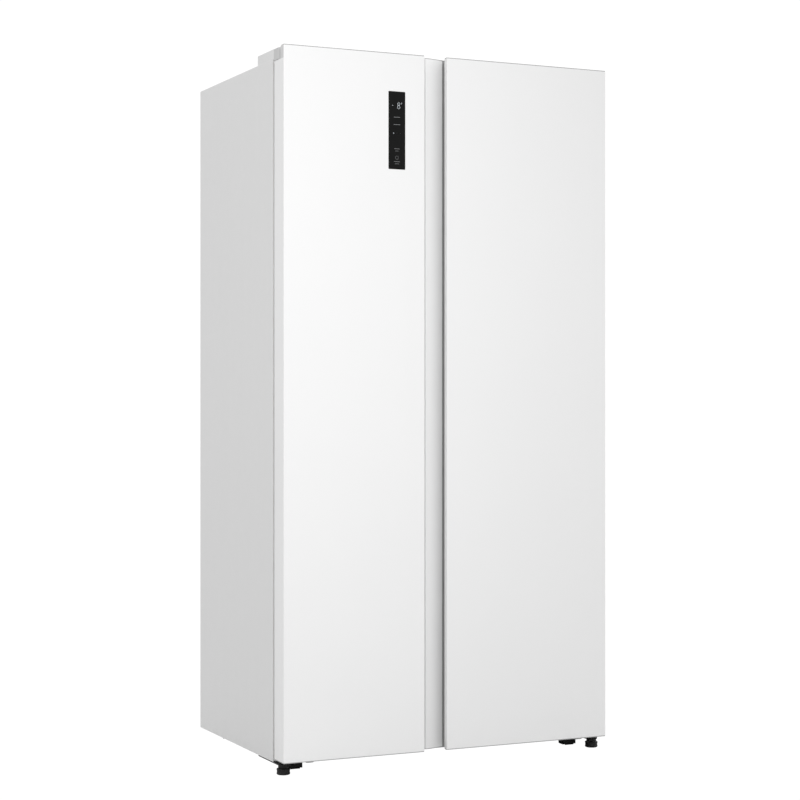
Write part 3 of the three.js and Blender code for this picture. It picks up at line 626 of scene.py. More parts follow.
def door_bins(door):
    """Clear bins, each with a white rail along its front."""
    for number in (1, 2, 3):
        lo, hi = box(f"{door.body}_bin_{number}")
        tray = loft(tray_rings(lo, hi, 2.4, 14, 8, 2, 1.5))
        door.piece(f"bin_{number}", tray, CLEAR, node=f"bin_{number}")
        x0, x1, y0, y1 = lo.x + 16, hi.x - 16, hi.y - 0.6, hi.y + 1.2
        rail = rounded([(x0, y0, 0), (x1, y0, 0), (x1, y1, 0.6), (x0, y1, 0.6)])
        door.piece(f"bin_{number}_trim", prism(rail, hi.z - 21, hi.z - 7), WHITE, 0.5, 2)


# ------------------------------------------------------------------ display
def stroke(points, width):
    """Flat ribbon of constant width through (a, b) points, as a list of quads."""
    quads = []
    for (a0, b0), (a1, b1) in zip(points, points[1:]):
        along = Vector((a1 - a0, b1 - b0)).normalized() * width / 2
        across = Vector((-along.y, along.x))
        start = Vector((a0, b0)) - along * 0.6
        end = Vector((a1, b1)) + along * 0.6
        quads.append([start - across, end - across, end + across, start + across])
    return quads


def ellipse(a, b, ra, rb, steps=20):
    return [(a + ra * cos(2 * pi * k / steps), b + rb * sin(2 * pi * k / steps))
            for k in range(steps + 1)]


def symbol(name, strokes, width, look):
    """Thin raised mark on the glass, from strokes given from its upper left corner."""
    y0 = DISPLAY_LO.y - 0.08
    y1 = DISPLAY_LO.y + 0.1
    solids = []
    for points in strokes:
        for quad in stroke(points, width):
            outline = [(DISPLAY_LO.x + q.x, DISPLAY_HI.z - q.y) for q in quad]
            solids.append(prism(outline, y0, y1, "y"))
    piece(name, merged(*solids), look, body="left_door")


def display():
    """Dark glass with a dash, a digit and a degree ring, and dim bars, dots and a ring below."""
    glass = slab(DISPLAY_LO.x, DISPLAY_HI.x, DISPLAY_LO.z, DISPLAY_HI.z, 2,
                 DISPLAY_LO.y, DISPLAY_HI.y, "y")
    piece("display_panel", glass, BLACK_GLASS, 0.5, 3, "display_glass", "left_door")
    centre = (DISPLAY_HI.x - DISPLAY_LO.x) / 2
    top, tall = 27, 16
    dash = [(centre - 13, top + tall / 2), (centre - 10.5, top + tall / 2)]
    upper = ellipse(centre + 5, top + 0.25 * tall, 2.9, 3.6)
    lower = ellipse(centre + 5, top + 0.73 * tall, 3.4, 4.1)
    symbol("display_digits", [dash, upper, lower], 0.75, BRIGHT)
    symbol("display_degree", [ellipse(centre + 12.5, top + 2, 1.4, 1.4, 14)], 0.5, BRIGHT)
    bars = [(64, 17, 0.9), (82.5, 18, 0.9), (143, 14, 0.8),
            (148.5, 9, 0.6), (175, 16, 0.8), (180.5, 11, 0.7)]
    for number, (drop, length, width) in enumerate(bars, 1):
        run = [(centre - length / 2, drop), (centre + length / 2, drop)]
        symbol(f"display_bar_{number}", [run], width, DIM)
    for number, look_of_dot in ((1, BRIGHT), (2, FAINT), (3, FAINT)):
        dot = ellipse(centre + (number - 2) * 9, 104, 0.7, 0.7, 12)
        symbol(f"display_dot_{number}", [dot], 0.8, look_of_dot)
    symbol("display_ring", [ellipse(centre, 165, 4.2, 4.2, 28)], 0.5, DIM)


# ------------------------------------------------------------------ cabinet
def cabinet_shell():
    """Folded wrap of the cabinet: two sides and the top, with rounded folds."""
    lo, hi = box("outer_shell")
    t = SHEET
    fold = 3
    corners = [(lo.x, lo.z, 0), (lo.x, hi.z, fold), (hi.x, hi.z, fold), (hi.x, lo.z, 0),
               (hi.x - t, lo.z, 0), (hi.x - t, hi.z - t, fold - t), (lo.x + t, hi.z - t, fold - t),
               (lo.x + t, lo.z, 0)]
    piece("cabinet_wrap", prism(rounded(corners), lo.y, hi.y, "y"), SIDE_ENAMEL, 0.5, 2, "outer_shell")


def hinge_cover(door):
    """Flat cover on the cabinet top with a round boss over the hinge pin."""
    inset, width, neck_depth, boss, sunk = 1.6, 96, 70.5, 15.5, 2.4
    node = f"{door.name}_hinge_cover"
    lo, hi = box(node)
    seat = box("outer_shell")[1].z - sunk
    deep = hi.y - FRONT_Y
    outline = door.plan([(inset, neck_depth, 1.5), (width, neck_depth, 8), (width, deep, 10),
                         (inset, deep, 3)], 8)
    piece(f"{door.name}_cover", prism(outline, seat, hi.z), COVER, 2, 4, node)
    reach = PIVOT_INSET - inset
    inner = PIVOT_INSET + boss
    tip = PIVOT_Y - FRONT_Y - boss
    neck = door.plan([(inset, neck_depth + 1, 0), (inner, neck_depth + 1, 0), (inner, tip, boss - 0.1),
                      (inset, tip, reach - 0.1)], 16)
    piece(f"{door.name}_cover_boss", prism(neck, lo.z, hi.z - 0.6), KNUCKLE, 1.6, 3)


def door_stop(door):
    """Small wedge under the door that meets the stop on its bottom hinge."""
    front, low = FRONT_Y + 6, door.bottom
    wedge = [(front, low + 1), (front, low - 1), (front + 10, low - 5), (front + 24, low - 5),
             (front + 24, low + 1)]
    xs = sorted((door.across(66), door.across(84)))
    door.piece("door_stop", prism(wedge, *xs, "x"), CAP_GREY_AND_EDGE_SHADE, 0.8, 2)


def foot(door):
    """Levelling foot below a door: a ringed black knob on its threaded stem."""
    node = f"{door.name}_foot"
    lo, hi = box(node)
    radius = (hi.x - lo.x) / 2
    tall, stem, pitch = 15, 5, 1.5
    profile = [(0, 0), (radius - 2.6, 0), (radius - 1, 0.8), (radius, 2.6), (radius, 4),
               (radius - 0.7, 4.6), (radius - 0.7, tall - 4), (radius, tall - 3.4),
               (radius, tall - 1), (radius - 1, tall), (stem, tall)]
    for k in range(4):
        z = tall + (k + 0.5) * pitch
        profile += [(stem - 0.6, z), (stem, z + pitch / 2)]
    profile.append((0, hi.z))
    centre = ((lo.x + hi.x) / 2, (lo.y + hi.y) / 2, 0)
    piece(f"{door.name}_levelling_foot", turned(profile, centre), BLACK, node=node, body=node)


def kept_nodes():
    """CAD solids whose shape is right keep it: a finish, smooth shading and broken rims."""
    looks = {ZINC: ["base_plate", "left_top_hinge", "right_top_hinge"],
             FOAM: ["cabinet_foam", "left_door_foam", "right_door_foam"],
             BLACK_STEEL: ["left_bottom_hinge", "right_bottom_hinge"], COPPER: ["condenser_coil"]}
    for (material, _), nodes in looks.items():
        for node in nodes:
            finish(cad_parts[node], material, 0.4, 2)


# ------------------------------------------------------------------ compartments
LINER = 2
CORNER = 14               # inside corners of the compartments
STEP_Y = 78               # the lower back of each compartment makes room for the machine space
STEP_Z = 300


class Space:
    """Inside faces of one compartment."""

    def __init__(self, name):
        lo, hi = box(f"{name}_liner")
        self.name = name
        self.x0, self.x1 = lo.x + LINER, hi.x - LINER
        self.floor, self.ceiling = lo.z + LINER, hi.z - LINER
        self.front, self.back = lo.y, hi.y - LINER
        self.middle = (self.x0 + self.x1) / 2

    def shelf_boxes(self):
        return [box(f"{self.name}_shelf_{n}") for n in (1, 2, 3)]


FREEZER = Space("freezer")
FRIDGE = Space("fridge")


def liner(space):
    """Vacuum-formed inner tub with round corners and the step over the machine space."""
    t = LINER
    profile = [(space.front, space.floor - t), (STEP_Y + t, space.floor - t), (STEP_Y + t, STEP_Z - t),
               (space.back + t, STEP_Z - t), (space.back + t, space.ceiling + t),
               (space.front, space.ceiling + t)]
    shell = prism(profile, space.x0 - t, space.x1 + t, "x")
    mouth = space.front - 3 * CORNER
    tall = round_box((space.x0, mouth, space.floor), (space.x1, STEP_Y, space.ceiling), CORNER)
    deep = round_box((space.x0, mouth, STEP_Z), (space.x1, space.back, space.ceiling), CORNER)
    piece(f"{space.name}_tub", carve(shell, tall, deep), INNER, node=f"{space.name}_liner")


def front_flange():
    """Painted front face of the cabinet round the two openings."""
    lo, hi = box("front_frame")
    plate = slab(lo.x, hi.x, lo.z, hi.z, 1, lo.y, hi.y, "y")
    mouths = [slab(s.x0, s.x1, s.floor, s.ceiling, CORNER, lo.y - 5, hi.y + 5, "y")
              for s in (FREEZER, FRIDGE)]
    piece("front_flange", carve(plate, *mouths), ENAMEL, 0.4, 2, "front_frame")


def ledges(space):
    """Moulded ledges for the shelves, spare ones between them, and guides for the drawers."""
    bars = []
    seats = [lo.z + 6 for lo, _ in space.shelf_boxes()]
    seats += [(a + b) / 2 for a, b in zip(seats, seats[1:])]
    y0 = space.shelf_boxes()[0][0].y + 12
    y1 = space.shelf_boxes()[0][1].y - 8
    guide_top = box(DRAWERS[space.name][1])[0].z - 0.6
    for wall, way in ((space.x0, 1), (space.x1, -1)):
        for z in seats:
            xs = sorted((wall - way * 1, wall + way * 8))
            bars.append(slab(y0, y1, z - 8, z - 0.6, 3, *xs, "x"))
        xs = sorted((wall - way * 1, wall + way * 17))
        bars.append(slab(y0, STEP_Y - 20, guide_top - 6.5, guide_top, 2.5, *xs, "x"))
        xs = sorted((wall + way * 40, wall + way * 48))
        bars.append(slab(y0, STEP_Y - 20, space.floor - 1, space.floor + 3, 1.5, *xs, "x"))
    piece(f"{space.name}_ledges", merged(*bars), INNER, 0.8, 2)


def shelves(space):
    """Glass plate held by a moulded front with a bright strip, a rear stop and two side rails."""
    for number, (lo, hi) in enumerate(space.shelf_boxes(), 1):
        name = f"{space.name}_shelf_{number}"
        z0 = lo.z + 6
        z1 = z0 + 4
        plate = slab(lo.x + 2, hi.x - 2, lo.y + 5, hi.y - 3, 3, z0 + 0.2, z1 - 0.2)
        piece(f"{name}_glass", plate, GLASS, 0.6, 2, name)
        front = [(lo.y, lo.z, 4), (lo.y + 12, lo.z, 1.5), (lo.y + 12, z0, 0), (lo.y + 5, z0, 0),
                 (lo.y + 5, z1, 0), (lo.y + 12, z1, 0), (lo.y + 12, z1 + 1.6, 0.6), (lo.y + 8, hi.z, 2),
                 (lo.y, hi.z, 4)]
        rear = [(hi.y - 12, z0 - 3, 1), (hi.y, z0 - 3, 1.5), (hi.y, z1 + 14, 1.4),
                (hi.y - 3, z1 + 14, 1.4), (hi.y - 3, z1 + 2, 3), (hi.y - 12, z1 + 1.6, 1)]
        rails = [prism(rounded(profile), lo.x, hi.x, "x") for profile in (front, rear)]
        for edge, way in ((lo.x, 1), (hi.x, -1)):
            xs = sorted((edge, edge + way * 9))
            rails.append(slab(*xs, z0 - 2, z1 + 1.4, 1, lo.y + 10, hi.y - 10, "y"))
        piece(f"{name}_frame", merged(*rails), WHITE, 0.4, 2)
        bright = slab(lo.y - 0.5, lo.y + 1, lo.z + 4.5, lo.z + 9.5, 0.5, lo.x + 3, hi.x - 3, "x")
        piece(f"{name}_strip", bright, TRIM)


DRAWERS = {"freezer": ("freezer_drawer_1", "freezer_drawer_2"),
           "fridge": ("fridge_crisper_1", "fridge_crisper_2")}


def drawers():
    """Clear tubs, each with a white front rail that holds a long finger recess."""
    for node in (*DRAWERS["freezer"], *DRAWERS["fridge"]):
        lo, hi = box(node)
        tub_lo = Vector((lo.x, lo.y + 2.4, lo.z))
        tub = loft(tray_rings(tub_lo, hi, 2.8, 14, 9, 2.5, 1.6))
        piece(f"{node}_tub", tub, CLEAR, node=node, body=node)
        low, high = hi.z - 50, hi.z - 1
        rail = slab(lo.x + 1, hi.x - 1, low, high, 6, lo.y, lo.y + 6, "y")
        middle = (lo.x + hi.x) / 2
        recess = round_box((middle - 72, lo.y - 8, hi.z - 38),
                           (middle + 72, lo.y + 4.4, hi.z - 14), 3.5, 4)
        piece(f"{node}_rail", carve(rail, recess), WHITE, 1.2, 3, body=node)
        foot_rail = slab(lo.x + 16, hi.x - 16, lo.z + 4, lo.z + 14, 3, lo.y + 1.2, lo.y + 5, "y")
        piece(f"{node}_foot_rail", foot_rail, WHITE, 0.8, 2, body=node)


def lamps():
    """Flat lamp in each ceiling: a glowing lens in a white surround."""
    for space in (FREEZER, FRIDGE):
        y = (space.front + STEP_Y) / 2 - 10
        under = space.ceiling
        rim = slab(space.middle - 75, space.middle + 75, y - 30, y + 30, 14, under - 6, under + 0.5)
        lens = slab(space.middle - 64, space.middle + 64, y - 20, y + 20, 9, under - 8, under - 2)
        piece(f"{space.name}_lamp_surround", rim, WHITE, 2.5, 4)
        piece(f"{space.name}_lamp_lens", lens, LENS_GLOW, 1.5, 3)


def slot_cutters(spots, width, height, y0, y1):
    """Round-ended slots through an upright panel, centred on (x, z) spots."""
    return merged(*(prism(rectangle(x - width / 2, x + width / 2, z - height / 2, z + height / 2,
                                    height / 2 - 0.1, 4), y0, y1, "y") for x, z in spots))


def fridge_tower():
    """Air tower on the back wall, with paired slots that blow over each shelf."""
    lo, hi = box("fridge_duct")
    plan = rounded([(lo.x, hi.y, 0), (lo.x, lo.y + 8, 7), (lo.x + 14, lo.y, 10),
                    (hi.x - 14, lo.y, 10), (hi.x, lo.y + 8, 7), (hi.x, hi.y, 0)])
    tower = prism(plan, lo.z, hi.z)
    heights = (706, 966, 1226, 1486)
    spots = [(FRIDGE.middle + side * 50, z + rise) for z in heights for side in (-1, 1)
             for rise in (-5, 5)]
    slots = slot_cutters(spots, 56, 6, lo.y - 5, lo.y + 14)
    left, right = FRIDGE.middle - 70, FRIDGE.middle + 70
    between = [z + 130 for z in heights[:-1]]
    groove = merged(*(slab(left, right, z - 1.2, z + 1.2, 1, lo.y - 5, lo.y + 1.5, "y")
                      for z in between))
    piece("fridge_air_tower", carve(tower, slots, groove), INNER, 1, 3, "fridge_duct")


def freezer_panel():
    """Panel in front of the evaporator, with its air slots, and the fan motor on two arms behind."""
    lo, hi = box("freezer_duct")
    front, back = lo.y, lo.y + 4
    fan_lo, fan_hi = box("evaporator_fan")
    fan = (fan_lo + fan_hi) / 2
    plate = slab(lo.x, hi.x, lo.z, hi.z, 12, front, back, "y")
    spots = [(fan.x, fan.z - 39.5 + 20 * i) for i in range(5)]
    intake = slot_cutters(spots, 96, 9, front - 6, back + 2)
    outlets = [(fan.x + side * 78, z) for z in (1047, 1297, 1547) for side in (-1, 1)]
    blown = slot_cutters(outlets, 84, 14, front - 6, back + 2)
    piece("freezer_panel", carve(plate, intake, blown), INNER, 0.8, 3, "freezer_duct")
    frames = []
    profile = [(0, front), (0.5, front - 2), (3.5, front - 2), (5, front)]
    for x, z in outlets:
        frames.append(frame_sweep(x - 47, x + 47, z - 12, z + 12, profile))
        frames.append(slab(x - 41, x + 41, z - 1, z + 1, 0.6, front + 0.5, back, "y"))
    piece("freezer_outlets", merged(*frames), WHITE, 0.4, 2)
    reach = (fan_hi.x - fan_lo.x) / 2 + 12
    arm_y = fan.y + 14
    far = reach + 4
    arms = [round_box((fan.x - far, arm_y, fan.z - 8), (fan.x + far, arm_y + 4, fan.z + 8), 1, 2)]
    for side in (-1, 1):
        x = fan.x + side * reach
        arms.append(round_box((x - 4, back - 0.5, fan.z - 8), (x + 4, arm_y + 2, fan.z + 8), 1, 2))
    piece("freezer_fan_arms", merged(*arms), WHITE)
    can = [(0, 0), (20, 0), (22, 1.5), (22, 7), (20.6, 7.6),
           (20.6, 9.4), (22, 10), (22, 16), (20, 18), (0, 18)]
    piece("freezer_fan_motor", turned(can, (fan.x, arm_y, fan.z), "y"), BLACK_STEEL)


FINS_ABREAST = 48
FIN_THICK = 0.5


def evaporator():
    """Block of thin aluminium fins on a tube that runs to and fro through them."""
    lo, hi = box("evaporator")
    fins = []
    for i in range(FINS_ABREAST):
        x = lo.x + (hi.x - lo.x - FIN_THICK) * i / (FINS_ABREAST - 1)
        fins.append(block((x, lo.y, lo.z), (x + FIN_THICK, hi.y, hi.z)))
    piece("evaporator_fins", merged(*fins), FINS, node="evaporator")
    for name, y, first in (("front", lo.y + 13, 0), ("back", hi.y - 13, 1)):
        run = []
        for i in range(8):
            z = lo.z + 18 + (hi.z - lo.z - 36) * i / 7
            ends = (lo.x - 6, hi.x + 6)
            if (i + first) % 2:
                ends = ends[::-1]
            run += [(x, y, z) for x in ends]
        piece(f"evaporator_tube_{name}", pipe(smooth_path(run, 4), 3.6, 8), FINS)


# ------------------------------------------------------------------ fans and machine space
FAN_BLADES = 5


def fan_wheel(node, axis, hub, chord, look):
    """Moulded wheel: a domed hub and twisted, swept blades inside the node's box."""
    lo, hi = box(node)
    centre = (lo + hi) / 2
    place = TURN[axis]
    size = hi - lo
    h = (size.x if axis == "x" else size.y) / 2
    radius = size.z / 2
    dome = [(0, -h), (hub - 2, -h), (hub, -h + 2), (hub, h - 4), (hub - 1.5, h - 1.5),
            (hub * 0.6, h - 0.3), (0, h)]
    solids = [turned(dome, centre, axis, 36)]
    for blade in range(FAN_BLADES):
        rings = []
        for k in range(9):
            share = k / 8
            r = hub * 0.8 + (radius - hub * 0.8) * share
            c = chord * (0.7 + 0.45 * sin(pi * (0.15 + 0.6 * share)))
            pitch = radians(42 - 20 * share)
            sweep = radians(16) * share ** 2
            ring = []
            for s, t in ((-0.5, 0), (-0.25, 0.9), (0, 1.15), (0.25, 0.9), (0.5, 0), (0.25, -0.2),
                         (0, -0.1), (-0.25, -0.2)):
                along = s * c * cos(pitch)
                rise = s * c * sin(pitch) + t * 1.1
                angle = 2 * pi * blade / FAN_BLADES + sweep + along / r
                rise = min(max(rise, -h + 0.5), h - 0.5)
                ring.append(Vector(place(r * cos(angle), r * sin(angle), rise)) + centre)
            rings.append(ring)
        solids.append(loft(rings))
    piece(f"{node}_wheel", merged(*solids), look, node=node, body=node)


def fan_mount():
    """Plate across the machine space with a round mouth, four arms and the motor."""
    lo, hi = box("condenser_fan_mount")
    fan_lo, fan_hi = box("condenser_fan")
    fan = (fan_lo + fan_hi) / 2
    plate_x = lo.x
    radius = (fan_hi.z - fan_lo.z) / 2 + 4
    plate = slab(lo.y, hi.y, lo.z, hi.z, 6, plate_x, plate_x + 4, "x")
    hole = turned([(radius, -10), (radius, 10)], (plate_x, fan.y, fan.z), "x", 64)
    mouth = [(radius, -2), (radius, 9), (radius + 2, 9), (radius + 2.4, 6),
             (radius + 2.4, 0), (radius + 4, -2)]
    ring = turned(mouth, (plate_x, fan.y, fan.z), "x", 64, ring_shaped=True)
    piece("fan_plate", carve(plate, hole), BLACK, 0.8, 2, "condenser_fan_mount")
    piece("fan_mouth", ring, BLACK)
    arms = []
    for k in range(4):
        angle = radians(45 + 90 * k)
        arms.append(pipe([(plate_x + 2.5, fan.y + r * cos(angle), fan.z + r * sin(angle))
                          for r in (20, radius + 2)], 3.4, 10))
    piece("fan_arms", merged(*arms), BLACK)
    long = hi.x - plate_x
    can = [(0, 0), (22, 0), (24, 2), (24, 0.4 * long), (22, 0.44 * long), (22, 0.56 * long),
           (24, 0.6 * long), (24, long - 3), (20, long), (0, long)]
    piece("fan_motor", turned(can, (plate_x, fan.y, fan.z), "x", 40), BLACK_STEEL)


def compressor():
    """Welded can on its plate and rubber feet, with the starter box."""
    lo, hi = box("compressor")
    seat = 54
    x, y = (lo.x + hi.x) / 2, (lo.y + hi.y) / 2
    base = seat + 4
    can = [(0, 0), (56, 0), (66, 4), (72, 12), (75, 26), (75.4, 66), (77, 68), (77, 76), (75.4, 78),
           (75, 96), (70, 116), (61, 131), (46, 142), (26, 148), (0, 150)]
    tall = (hi.z - base) / 150
    profile = [(r * 0.986, h * tall) for r, h in can]
    piece("compressor_can", turned(profile, (x, y, base), "z", 64), BLACK_STEEL, node="compressor")
    plate = slab(lo.x + 0.5, hi.x - 0.5, y - 55, y + 55, 14, seat, seat + 5.4)
    piece("compressor_plate", plate, BLACK_STEEL, 1, 2)
    grommet = [(0, 0), (11, 0), (11, 4), (8.5, 6), (8.5, 12), (10.5, 14), (10.5, 25), (6, 26), (6, 33),
               (0, 33)]
    feet = [turned(grommet, (x + dx * 82, y + dy * 42, lo.z), "z", 24)
            for dx in (-1, 1) for dy in (-1, 1)]
    piece("compressor_grommets", merged(*feet), BLACK)
    starter = round_box((x - 103, y - 30, base + 38), (x - 66, y + 30, base + 98), 6)
    piece("starter_box", starter, BLACK)


# Radius and route of each tube.
TUBES = {
    "discharge_tube": (3.2, [
        (-182, 150, 110), (-168, 136, 122), (-158, 131, 170), (-150, 131, 232), (-128, 133, 249),
        (-40, 134, 251), (40, 136, 251), (300, 142, 251), (356, 146, 246), (362, 150, 230),
        (350, 150, 218)]),
    "suction_tube": (4.2, [
        (-275, 152, 112), (-292, 140, 124), (-300, 134, 160), (-300, 132, 215), (-300, 132, 262)]),
    "liquid_tube": (2.6, [(90, 150, 86), (76, 148, 86), (70, 142, 96), (70, 138, 130), (70, 136, 150)]),
    "capillary_tube": (1.4, [(70, 136, 228), (70, 136, 240), (66, 136, 252), (60, 137, 262)]),
}
WIRES_ABREAST = 24


def refrigerant_tubes():
    """Tubes between the parts, the filter dryer, and the wires on both sides of the condenser."""
    for name, (radius, points) in TUBES.items():
        piece(name, pipe(smooth_path(points, 6), radius, 12), COPPER)
    dryer = [(0, 0), (2.8, 0), (3, 8), (8, 16), (9, 20), (9, 62), (8, 66), (3, 74), (1.8, 82), (0, 82)]
    piece("filter_dryer", turned(dryer, (70, 136, 148), "z", 32), COPPER)
    lo, hi = box("condenser_coil")
    y = (lo.y + hi.y) / 2
    wires = []
    for i in range(WIRES_ABREAST):
        x = lo.x + 16 + (hi.x - lo.x - 32) * i / (WIRES_ABREAST - 1)
        for side in (-1, 1):
            wires.append(pipe([(x, y + side * 3.9, lo.z - 4), (x, y + side * 3.9, hi.z + 4)], 0.8, 6))
    piece("condenser_wires", merged(*wires), BLACK_STEEL)


def back_panel():
    """Sheet back with pressed beads, rounded edges and the cover of the control board."""
    lo, hi = box("back_panel")
    outer = hi.y
    solids = [slab(lo.x, hi.x, lo.z, hi.z, 2, lo.y, outer, "y")]
    for z in (380, 660, 940, 1220):
        for x0, x1 in ((-400, -30), (30, 400)):
            bead = rectangle(x0, x1, z - 9, z + 9, 8.9, 8)
            solids.append(prism(bead, outer - 0.5, outer + 2.5, "y"))
    piece("back_sheet", merged(*solids), ZINC, 1.8, 3, "back_panel")
    cover = slab(-150, 150, 1430, 1650, 8, outer - 0.5, outer + 11, "y")
    vents = slot_cutters([(x, z) for x in (-90, 0, 90) for z in (1456, 1468, 1480)], 60,
                         4.5, outer + 6, outer + 14)
    piece("board_cover", carve(cover, vents), ZINC, 2.5, 3)
    spots = [(x, outer + 11, z) for x in (-138, 138) for z in (1442, 1638)]
    screws("board_cover_screws", spots)
    spots = [(x, outer, z) for x in (-440, 440) for z in (300, 640, 980, 1320, 1660, 1745)]
    spots += [(x, outer, 1745) for x in (-200, 0, 200)]
    screws("back_sheet_screws", spots)


def machine_cover():
    """Slotted cover of the machine space with the two rear bumpers."""
    lo, hi = box("machine_cover")
    back = box("back_panel")[1].y
    y0, y1 = back - SHEET, back + SHEET
    plate = slab(lo.x, hi.x, lo.z, hi.z, 3, y0, y1, "y")
    spots = [(-225 + 150 * column, 70 + 24 * row) for column in range(4) for row in range(7)]
    slots = slot_cutters(spots, 120, 8, y0 - 3, y1 + 3)
    piece("machine_space_cover", carve(plate, slots), ZINC, 0.5, 2, "machine_cover")
    bumpers = []
    for x in (-380, 380):
        bumpers.append(round_box((x - 22, y1 - 1, 150), (x + 22, hi.y, 210), 3, 4))
        for rib in (-11, 0, 11):
            bumpers.append(round_box((x + rib - 2, y1 - 1, 145), (x + rib + 2, hi.y - 6, 215), 1, 2))
    piece("rear_bumpers", merged(*bumpers), BLACK)
    spots = [(x, y1, z) for x in (-440, 0, 440) for z in (46, 262)]
    screws("machine_cover_screws", spots)


def power_inlet():
    """Recessed appliance inlet with three flat pins."""
    lo, hi = box("power_inlet")
    x, z = (lo.x + hi.x) / 2, (lo.z + hi.z) / 2
    body = slab(lo.x, hi.x, lo.z, hi.z, 2.5, lo.y, hi.y, "y")
    inside = rounded([(lo.x + 5, lo.z + 4, 2), (hi.x - 5, lo.z + 4, 2),
                      (hi.x - 5, hi.z - 9, 1), (hi.x - 10, hi.z - 4, 1),
                      (lo.x + 10, hi.z - 4, 1), (lo.x + 5, hi.z - 9, 1)])
    socket = prism(inside, lo.y + 3, hi.y + 5, "y")
    piece("inlet_housing", carve(body, socket), BLACK, 0.8, 2, "power_inlet")
    pins = [round_box((a - 1, lo.y + 2, b - 2), (a + 1, hi.y - 3, b + 2), 0.5, 2)
            for a, b in ((x - 7, z - 2), (x, z + 2), (x + 7, z - 2))]
    piece("inlet_pins", merged(*pins), TRIM)


def rollers():
    """Small wheels: a grooved tread on a hub, with the axle through both."""
    for name in ("left_front", "right_front", "left_rear", "right_rear"):
        node = f"{name}_roller"
        lo, hi = box(node)
        centre = (lo + hi) / 2
        radius = (hi.z - lo.z) / 2
        half_axle = (hi.x - lo.x) / 2
        half = half_axle - (5 if "front" in name else 6)
        axle = 3 if "front" in name else 4
        profile = [(0, -half_axle), (axle - 0.5, -half_axle), (axle, -half_axle + 0.6), (axle, -half),
                   (radius - 2.5, -half), (radius - 0.6, -half + 0.4), (radius, -half + 2),
                   (radius, -2), (radius - 1, -1)]
        mirrored = [(r, -h) for r, h in reversed(profile)]
        piece(f"{name}_wheel", turned(profile + mirrored, centre, "x", 40), BLACK, node=node, body=node)


# ------------------------------------------------------------------ studio
CAMERA_PLACE = (-2.146, -4.605, 0.921)
CAMERA_AZIMUTH = radians(24.93)
LENS = 85.1
SEEN_WHITE = 1.05              # a little over white, so that the backdrop shows no grey


def camera():
    data = bpy.data.cameras.new("camera")
    data.lens = LENS
    data.sensor_width = 36
    data.shift_x = 0.0055
    data.shift_y = -0.0008
    data.clip_end = 100
    obj = bpy.data.objects.new("camera", data)
    obj.location = CAMERA_PLACE
    obj.rotation_euler = (pi / 2, 0, -CAMERA_AZIMUTH)
    bpy.context.scene.collection.objects.link(obj)
    bpy.context.scene.camera = obj


def lamp(name, kind, place, aim, power, **settings):
    """Studio lamp at a place in metres, turned towards an aim."""
    data = bpy.data.lights.new(name, kind)
    data.energy = power
    for setting, value in settings.items():
        setattr(data, setting, value)
    obj = bpy.data.objects.new(name, data)
    obj.location = place
    obj.rotation_euler = (Vector(aim) - Vector(place)).to_track_quat("-Z", "Y").to_euler()
    bpy.context.scene.collection.objects.link(obj)


def for_camera(tree, plain, seen, surface):
    """The camera sees one shader, and every other ray meets the plain one."""
    path = tree.nodes.new("ShaderNodeLightPath")
    mix = tree.nodes.new("ShaderNodeMixShader")
    tree.links.new(path.outputs["Is Camera Ray"], mix.inputs["Fac"])
    tree.links.new(plain, mix.inputs[1])
    tree.links.new(seen, mix.inputs[2])
    tree.links.new(mix.outputs["Shader"], surface)


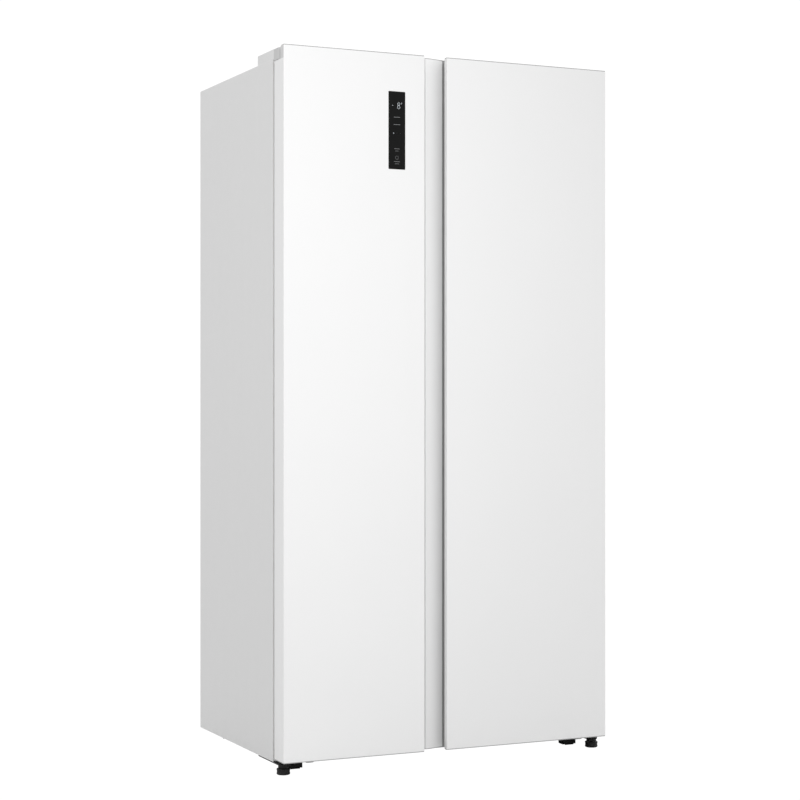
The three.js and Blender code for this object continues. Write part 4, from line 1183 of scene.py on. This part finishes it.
def studio():
    """White world, two wide beams that fade to their rims, and a slim light from the right."""
    world = bpy.data.worlds.new("studio")
    world.use_nodes = True
    nodes = world.node_tree.nodes
    light, seen = nodes["Background"], nodes.new("ShaderNodeBackground")
    for background, strength in ((light, 0.91), (seen, SEEN_WHITE)):
        set_inputs(background, Color=(1, 1, 1, 1), Strength=strength)
    for_camera(world.node_tree, light.outputs["Background"], seen.outputs["Background"],
               nodes["World Output"].inputs["Surface"])
    bpy.context.scene.world = world
    bpy.context.scene.view_settings.view_transform = "Standard"
    front = CAD_BOUNDS[0].y
    beam = {"spot_size": radians(50), "spot_blend": 1.0, "shadow_soft_size": 0.5}
    lamp("key", "SPOT", (-1.4, -4.6, 2.9), (-1.05, front, 1.6), 290, **beam)
    lamp("fill", "SPOT", (-1.4, -4.6, 1.6), (-1.05, front, 0.5), 56, **beam)
    lamp("edge", "AREA", (3.4, -0.8, 1.2), (0, front, 1.0), 16, shape="RECTANGLE", size=0.3, size_y=2.6)


def floor():
    """Pale floor that lights the object from below and shows plain white."""
    material = bpy.data.materials.new("floor")
    material.use_nodes = True
    nodes = material.node_tree.nodes
    nodes.remove(nodes["Principled BSDF"])
    pale = nodes.new("ShaderNodeBsdfDiffuse")
    set_inputs(pale, Color=(*grey(0.7), 1))
    white = nodes.new("ShaderNodeEmission")
    set_inputs(white, Color=(1, 1, 1, 1), Strength=SEEN_WHITE)
    for_camera(material.node_tree, pale.outputs["BSDF"], white.outputs["Emission"],
               nodes["Material Output"].inputs["Surface"])
    obj = bare_object("studio_floor", slab(-40000, 40000, -40000, 40000, 0, -50, -0.5))
    obj.data.materials.append(material)


camera()
studio()
floor()
kept_nodes()
cabinet_shell()
front_flange()
for each_door in (LEFT, RIGHT):
    hinge_cover(each_door)
for each_door in (LEFT, RIGHT):
    door_stop(each_door)
for each_door in (LEFT, RIGHT):
    foot(each_door)
    door_panel(each_door)
    channel_strip(each_door)
    end_caps(each_door)
    hinge_lip(each_door)
    gasket(each_door)
    door_inner(each_door)
    door_bins(each_door)
display()
for each_space in (FREEZER, FRIDGE):
    liner(each_space)
    ledges(each_space)
    shelves(each_space)
drawers()
lamps()
fridge_tower()
freezer_panel()
evaporator()
fan_wheel("evaporator_fan", "y", 14, 26, WHITE)
fan_wheel("condenser_fan", "x", 20, 40, BLACK)
fan_mount()
compressor()
refrigerant_tubes()
back_panel()
machine_cover()
power_inlet()
rollers()

bpy.context.view_layer.update()
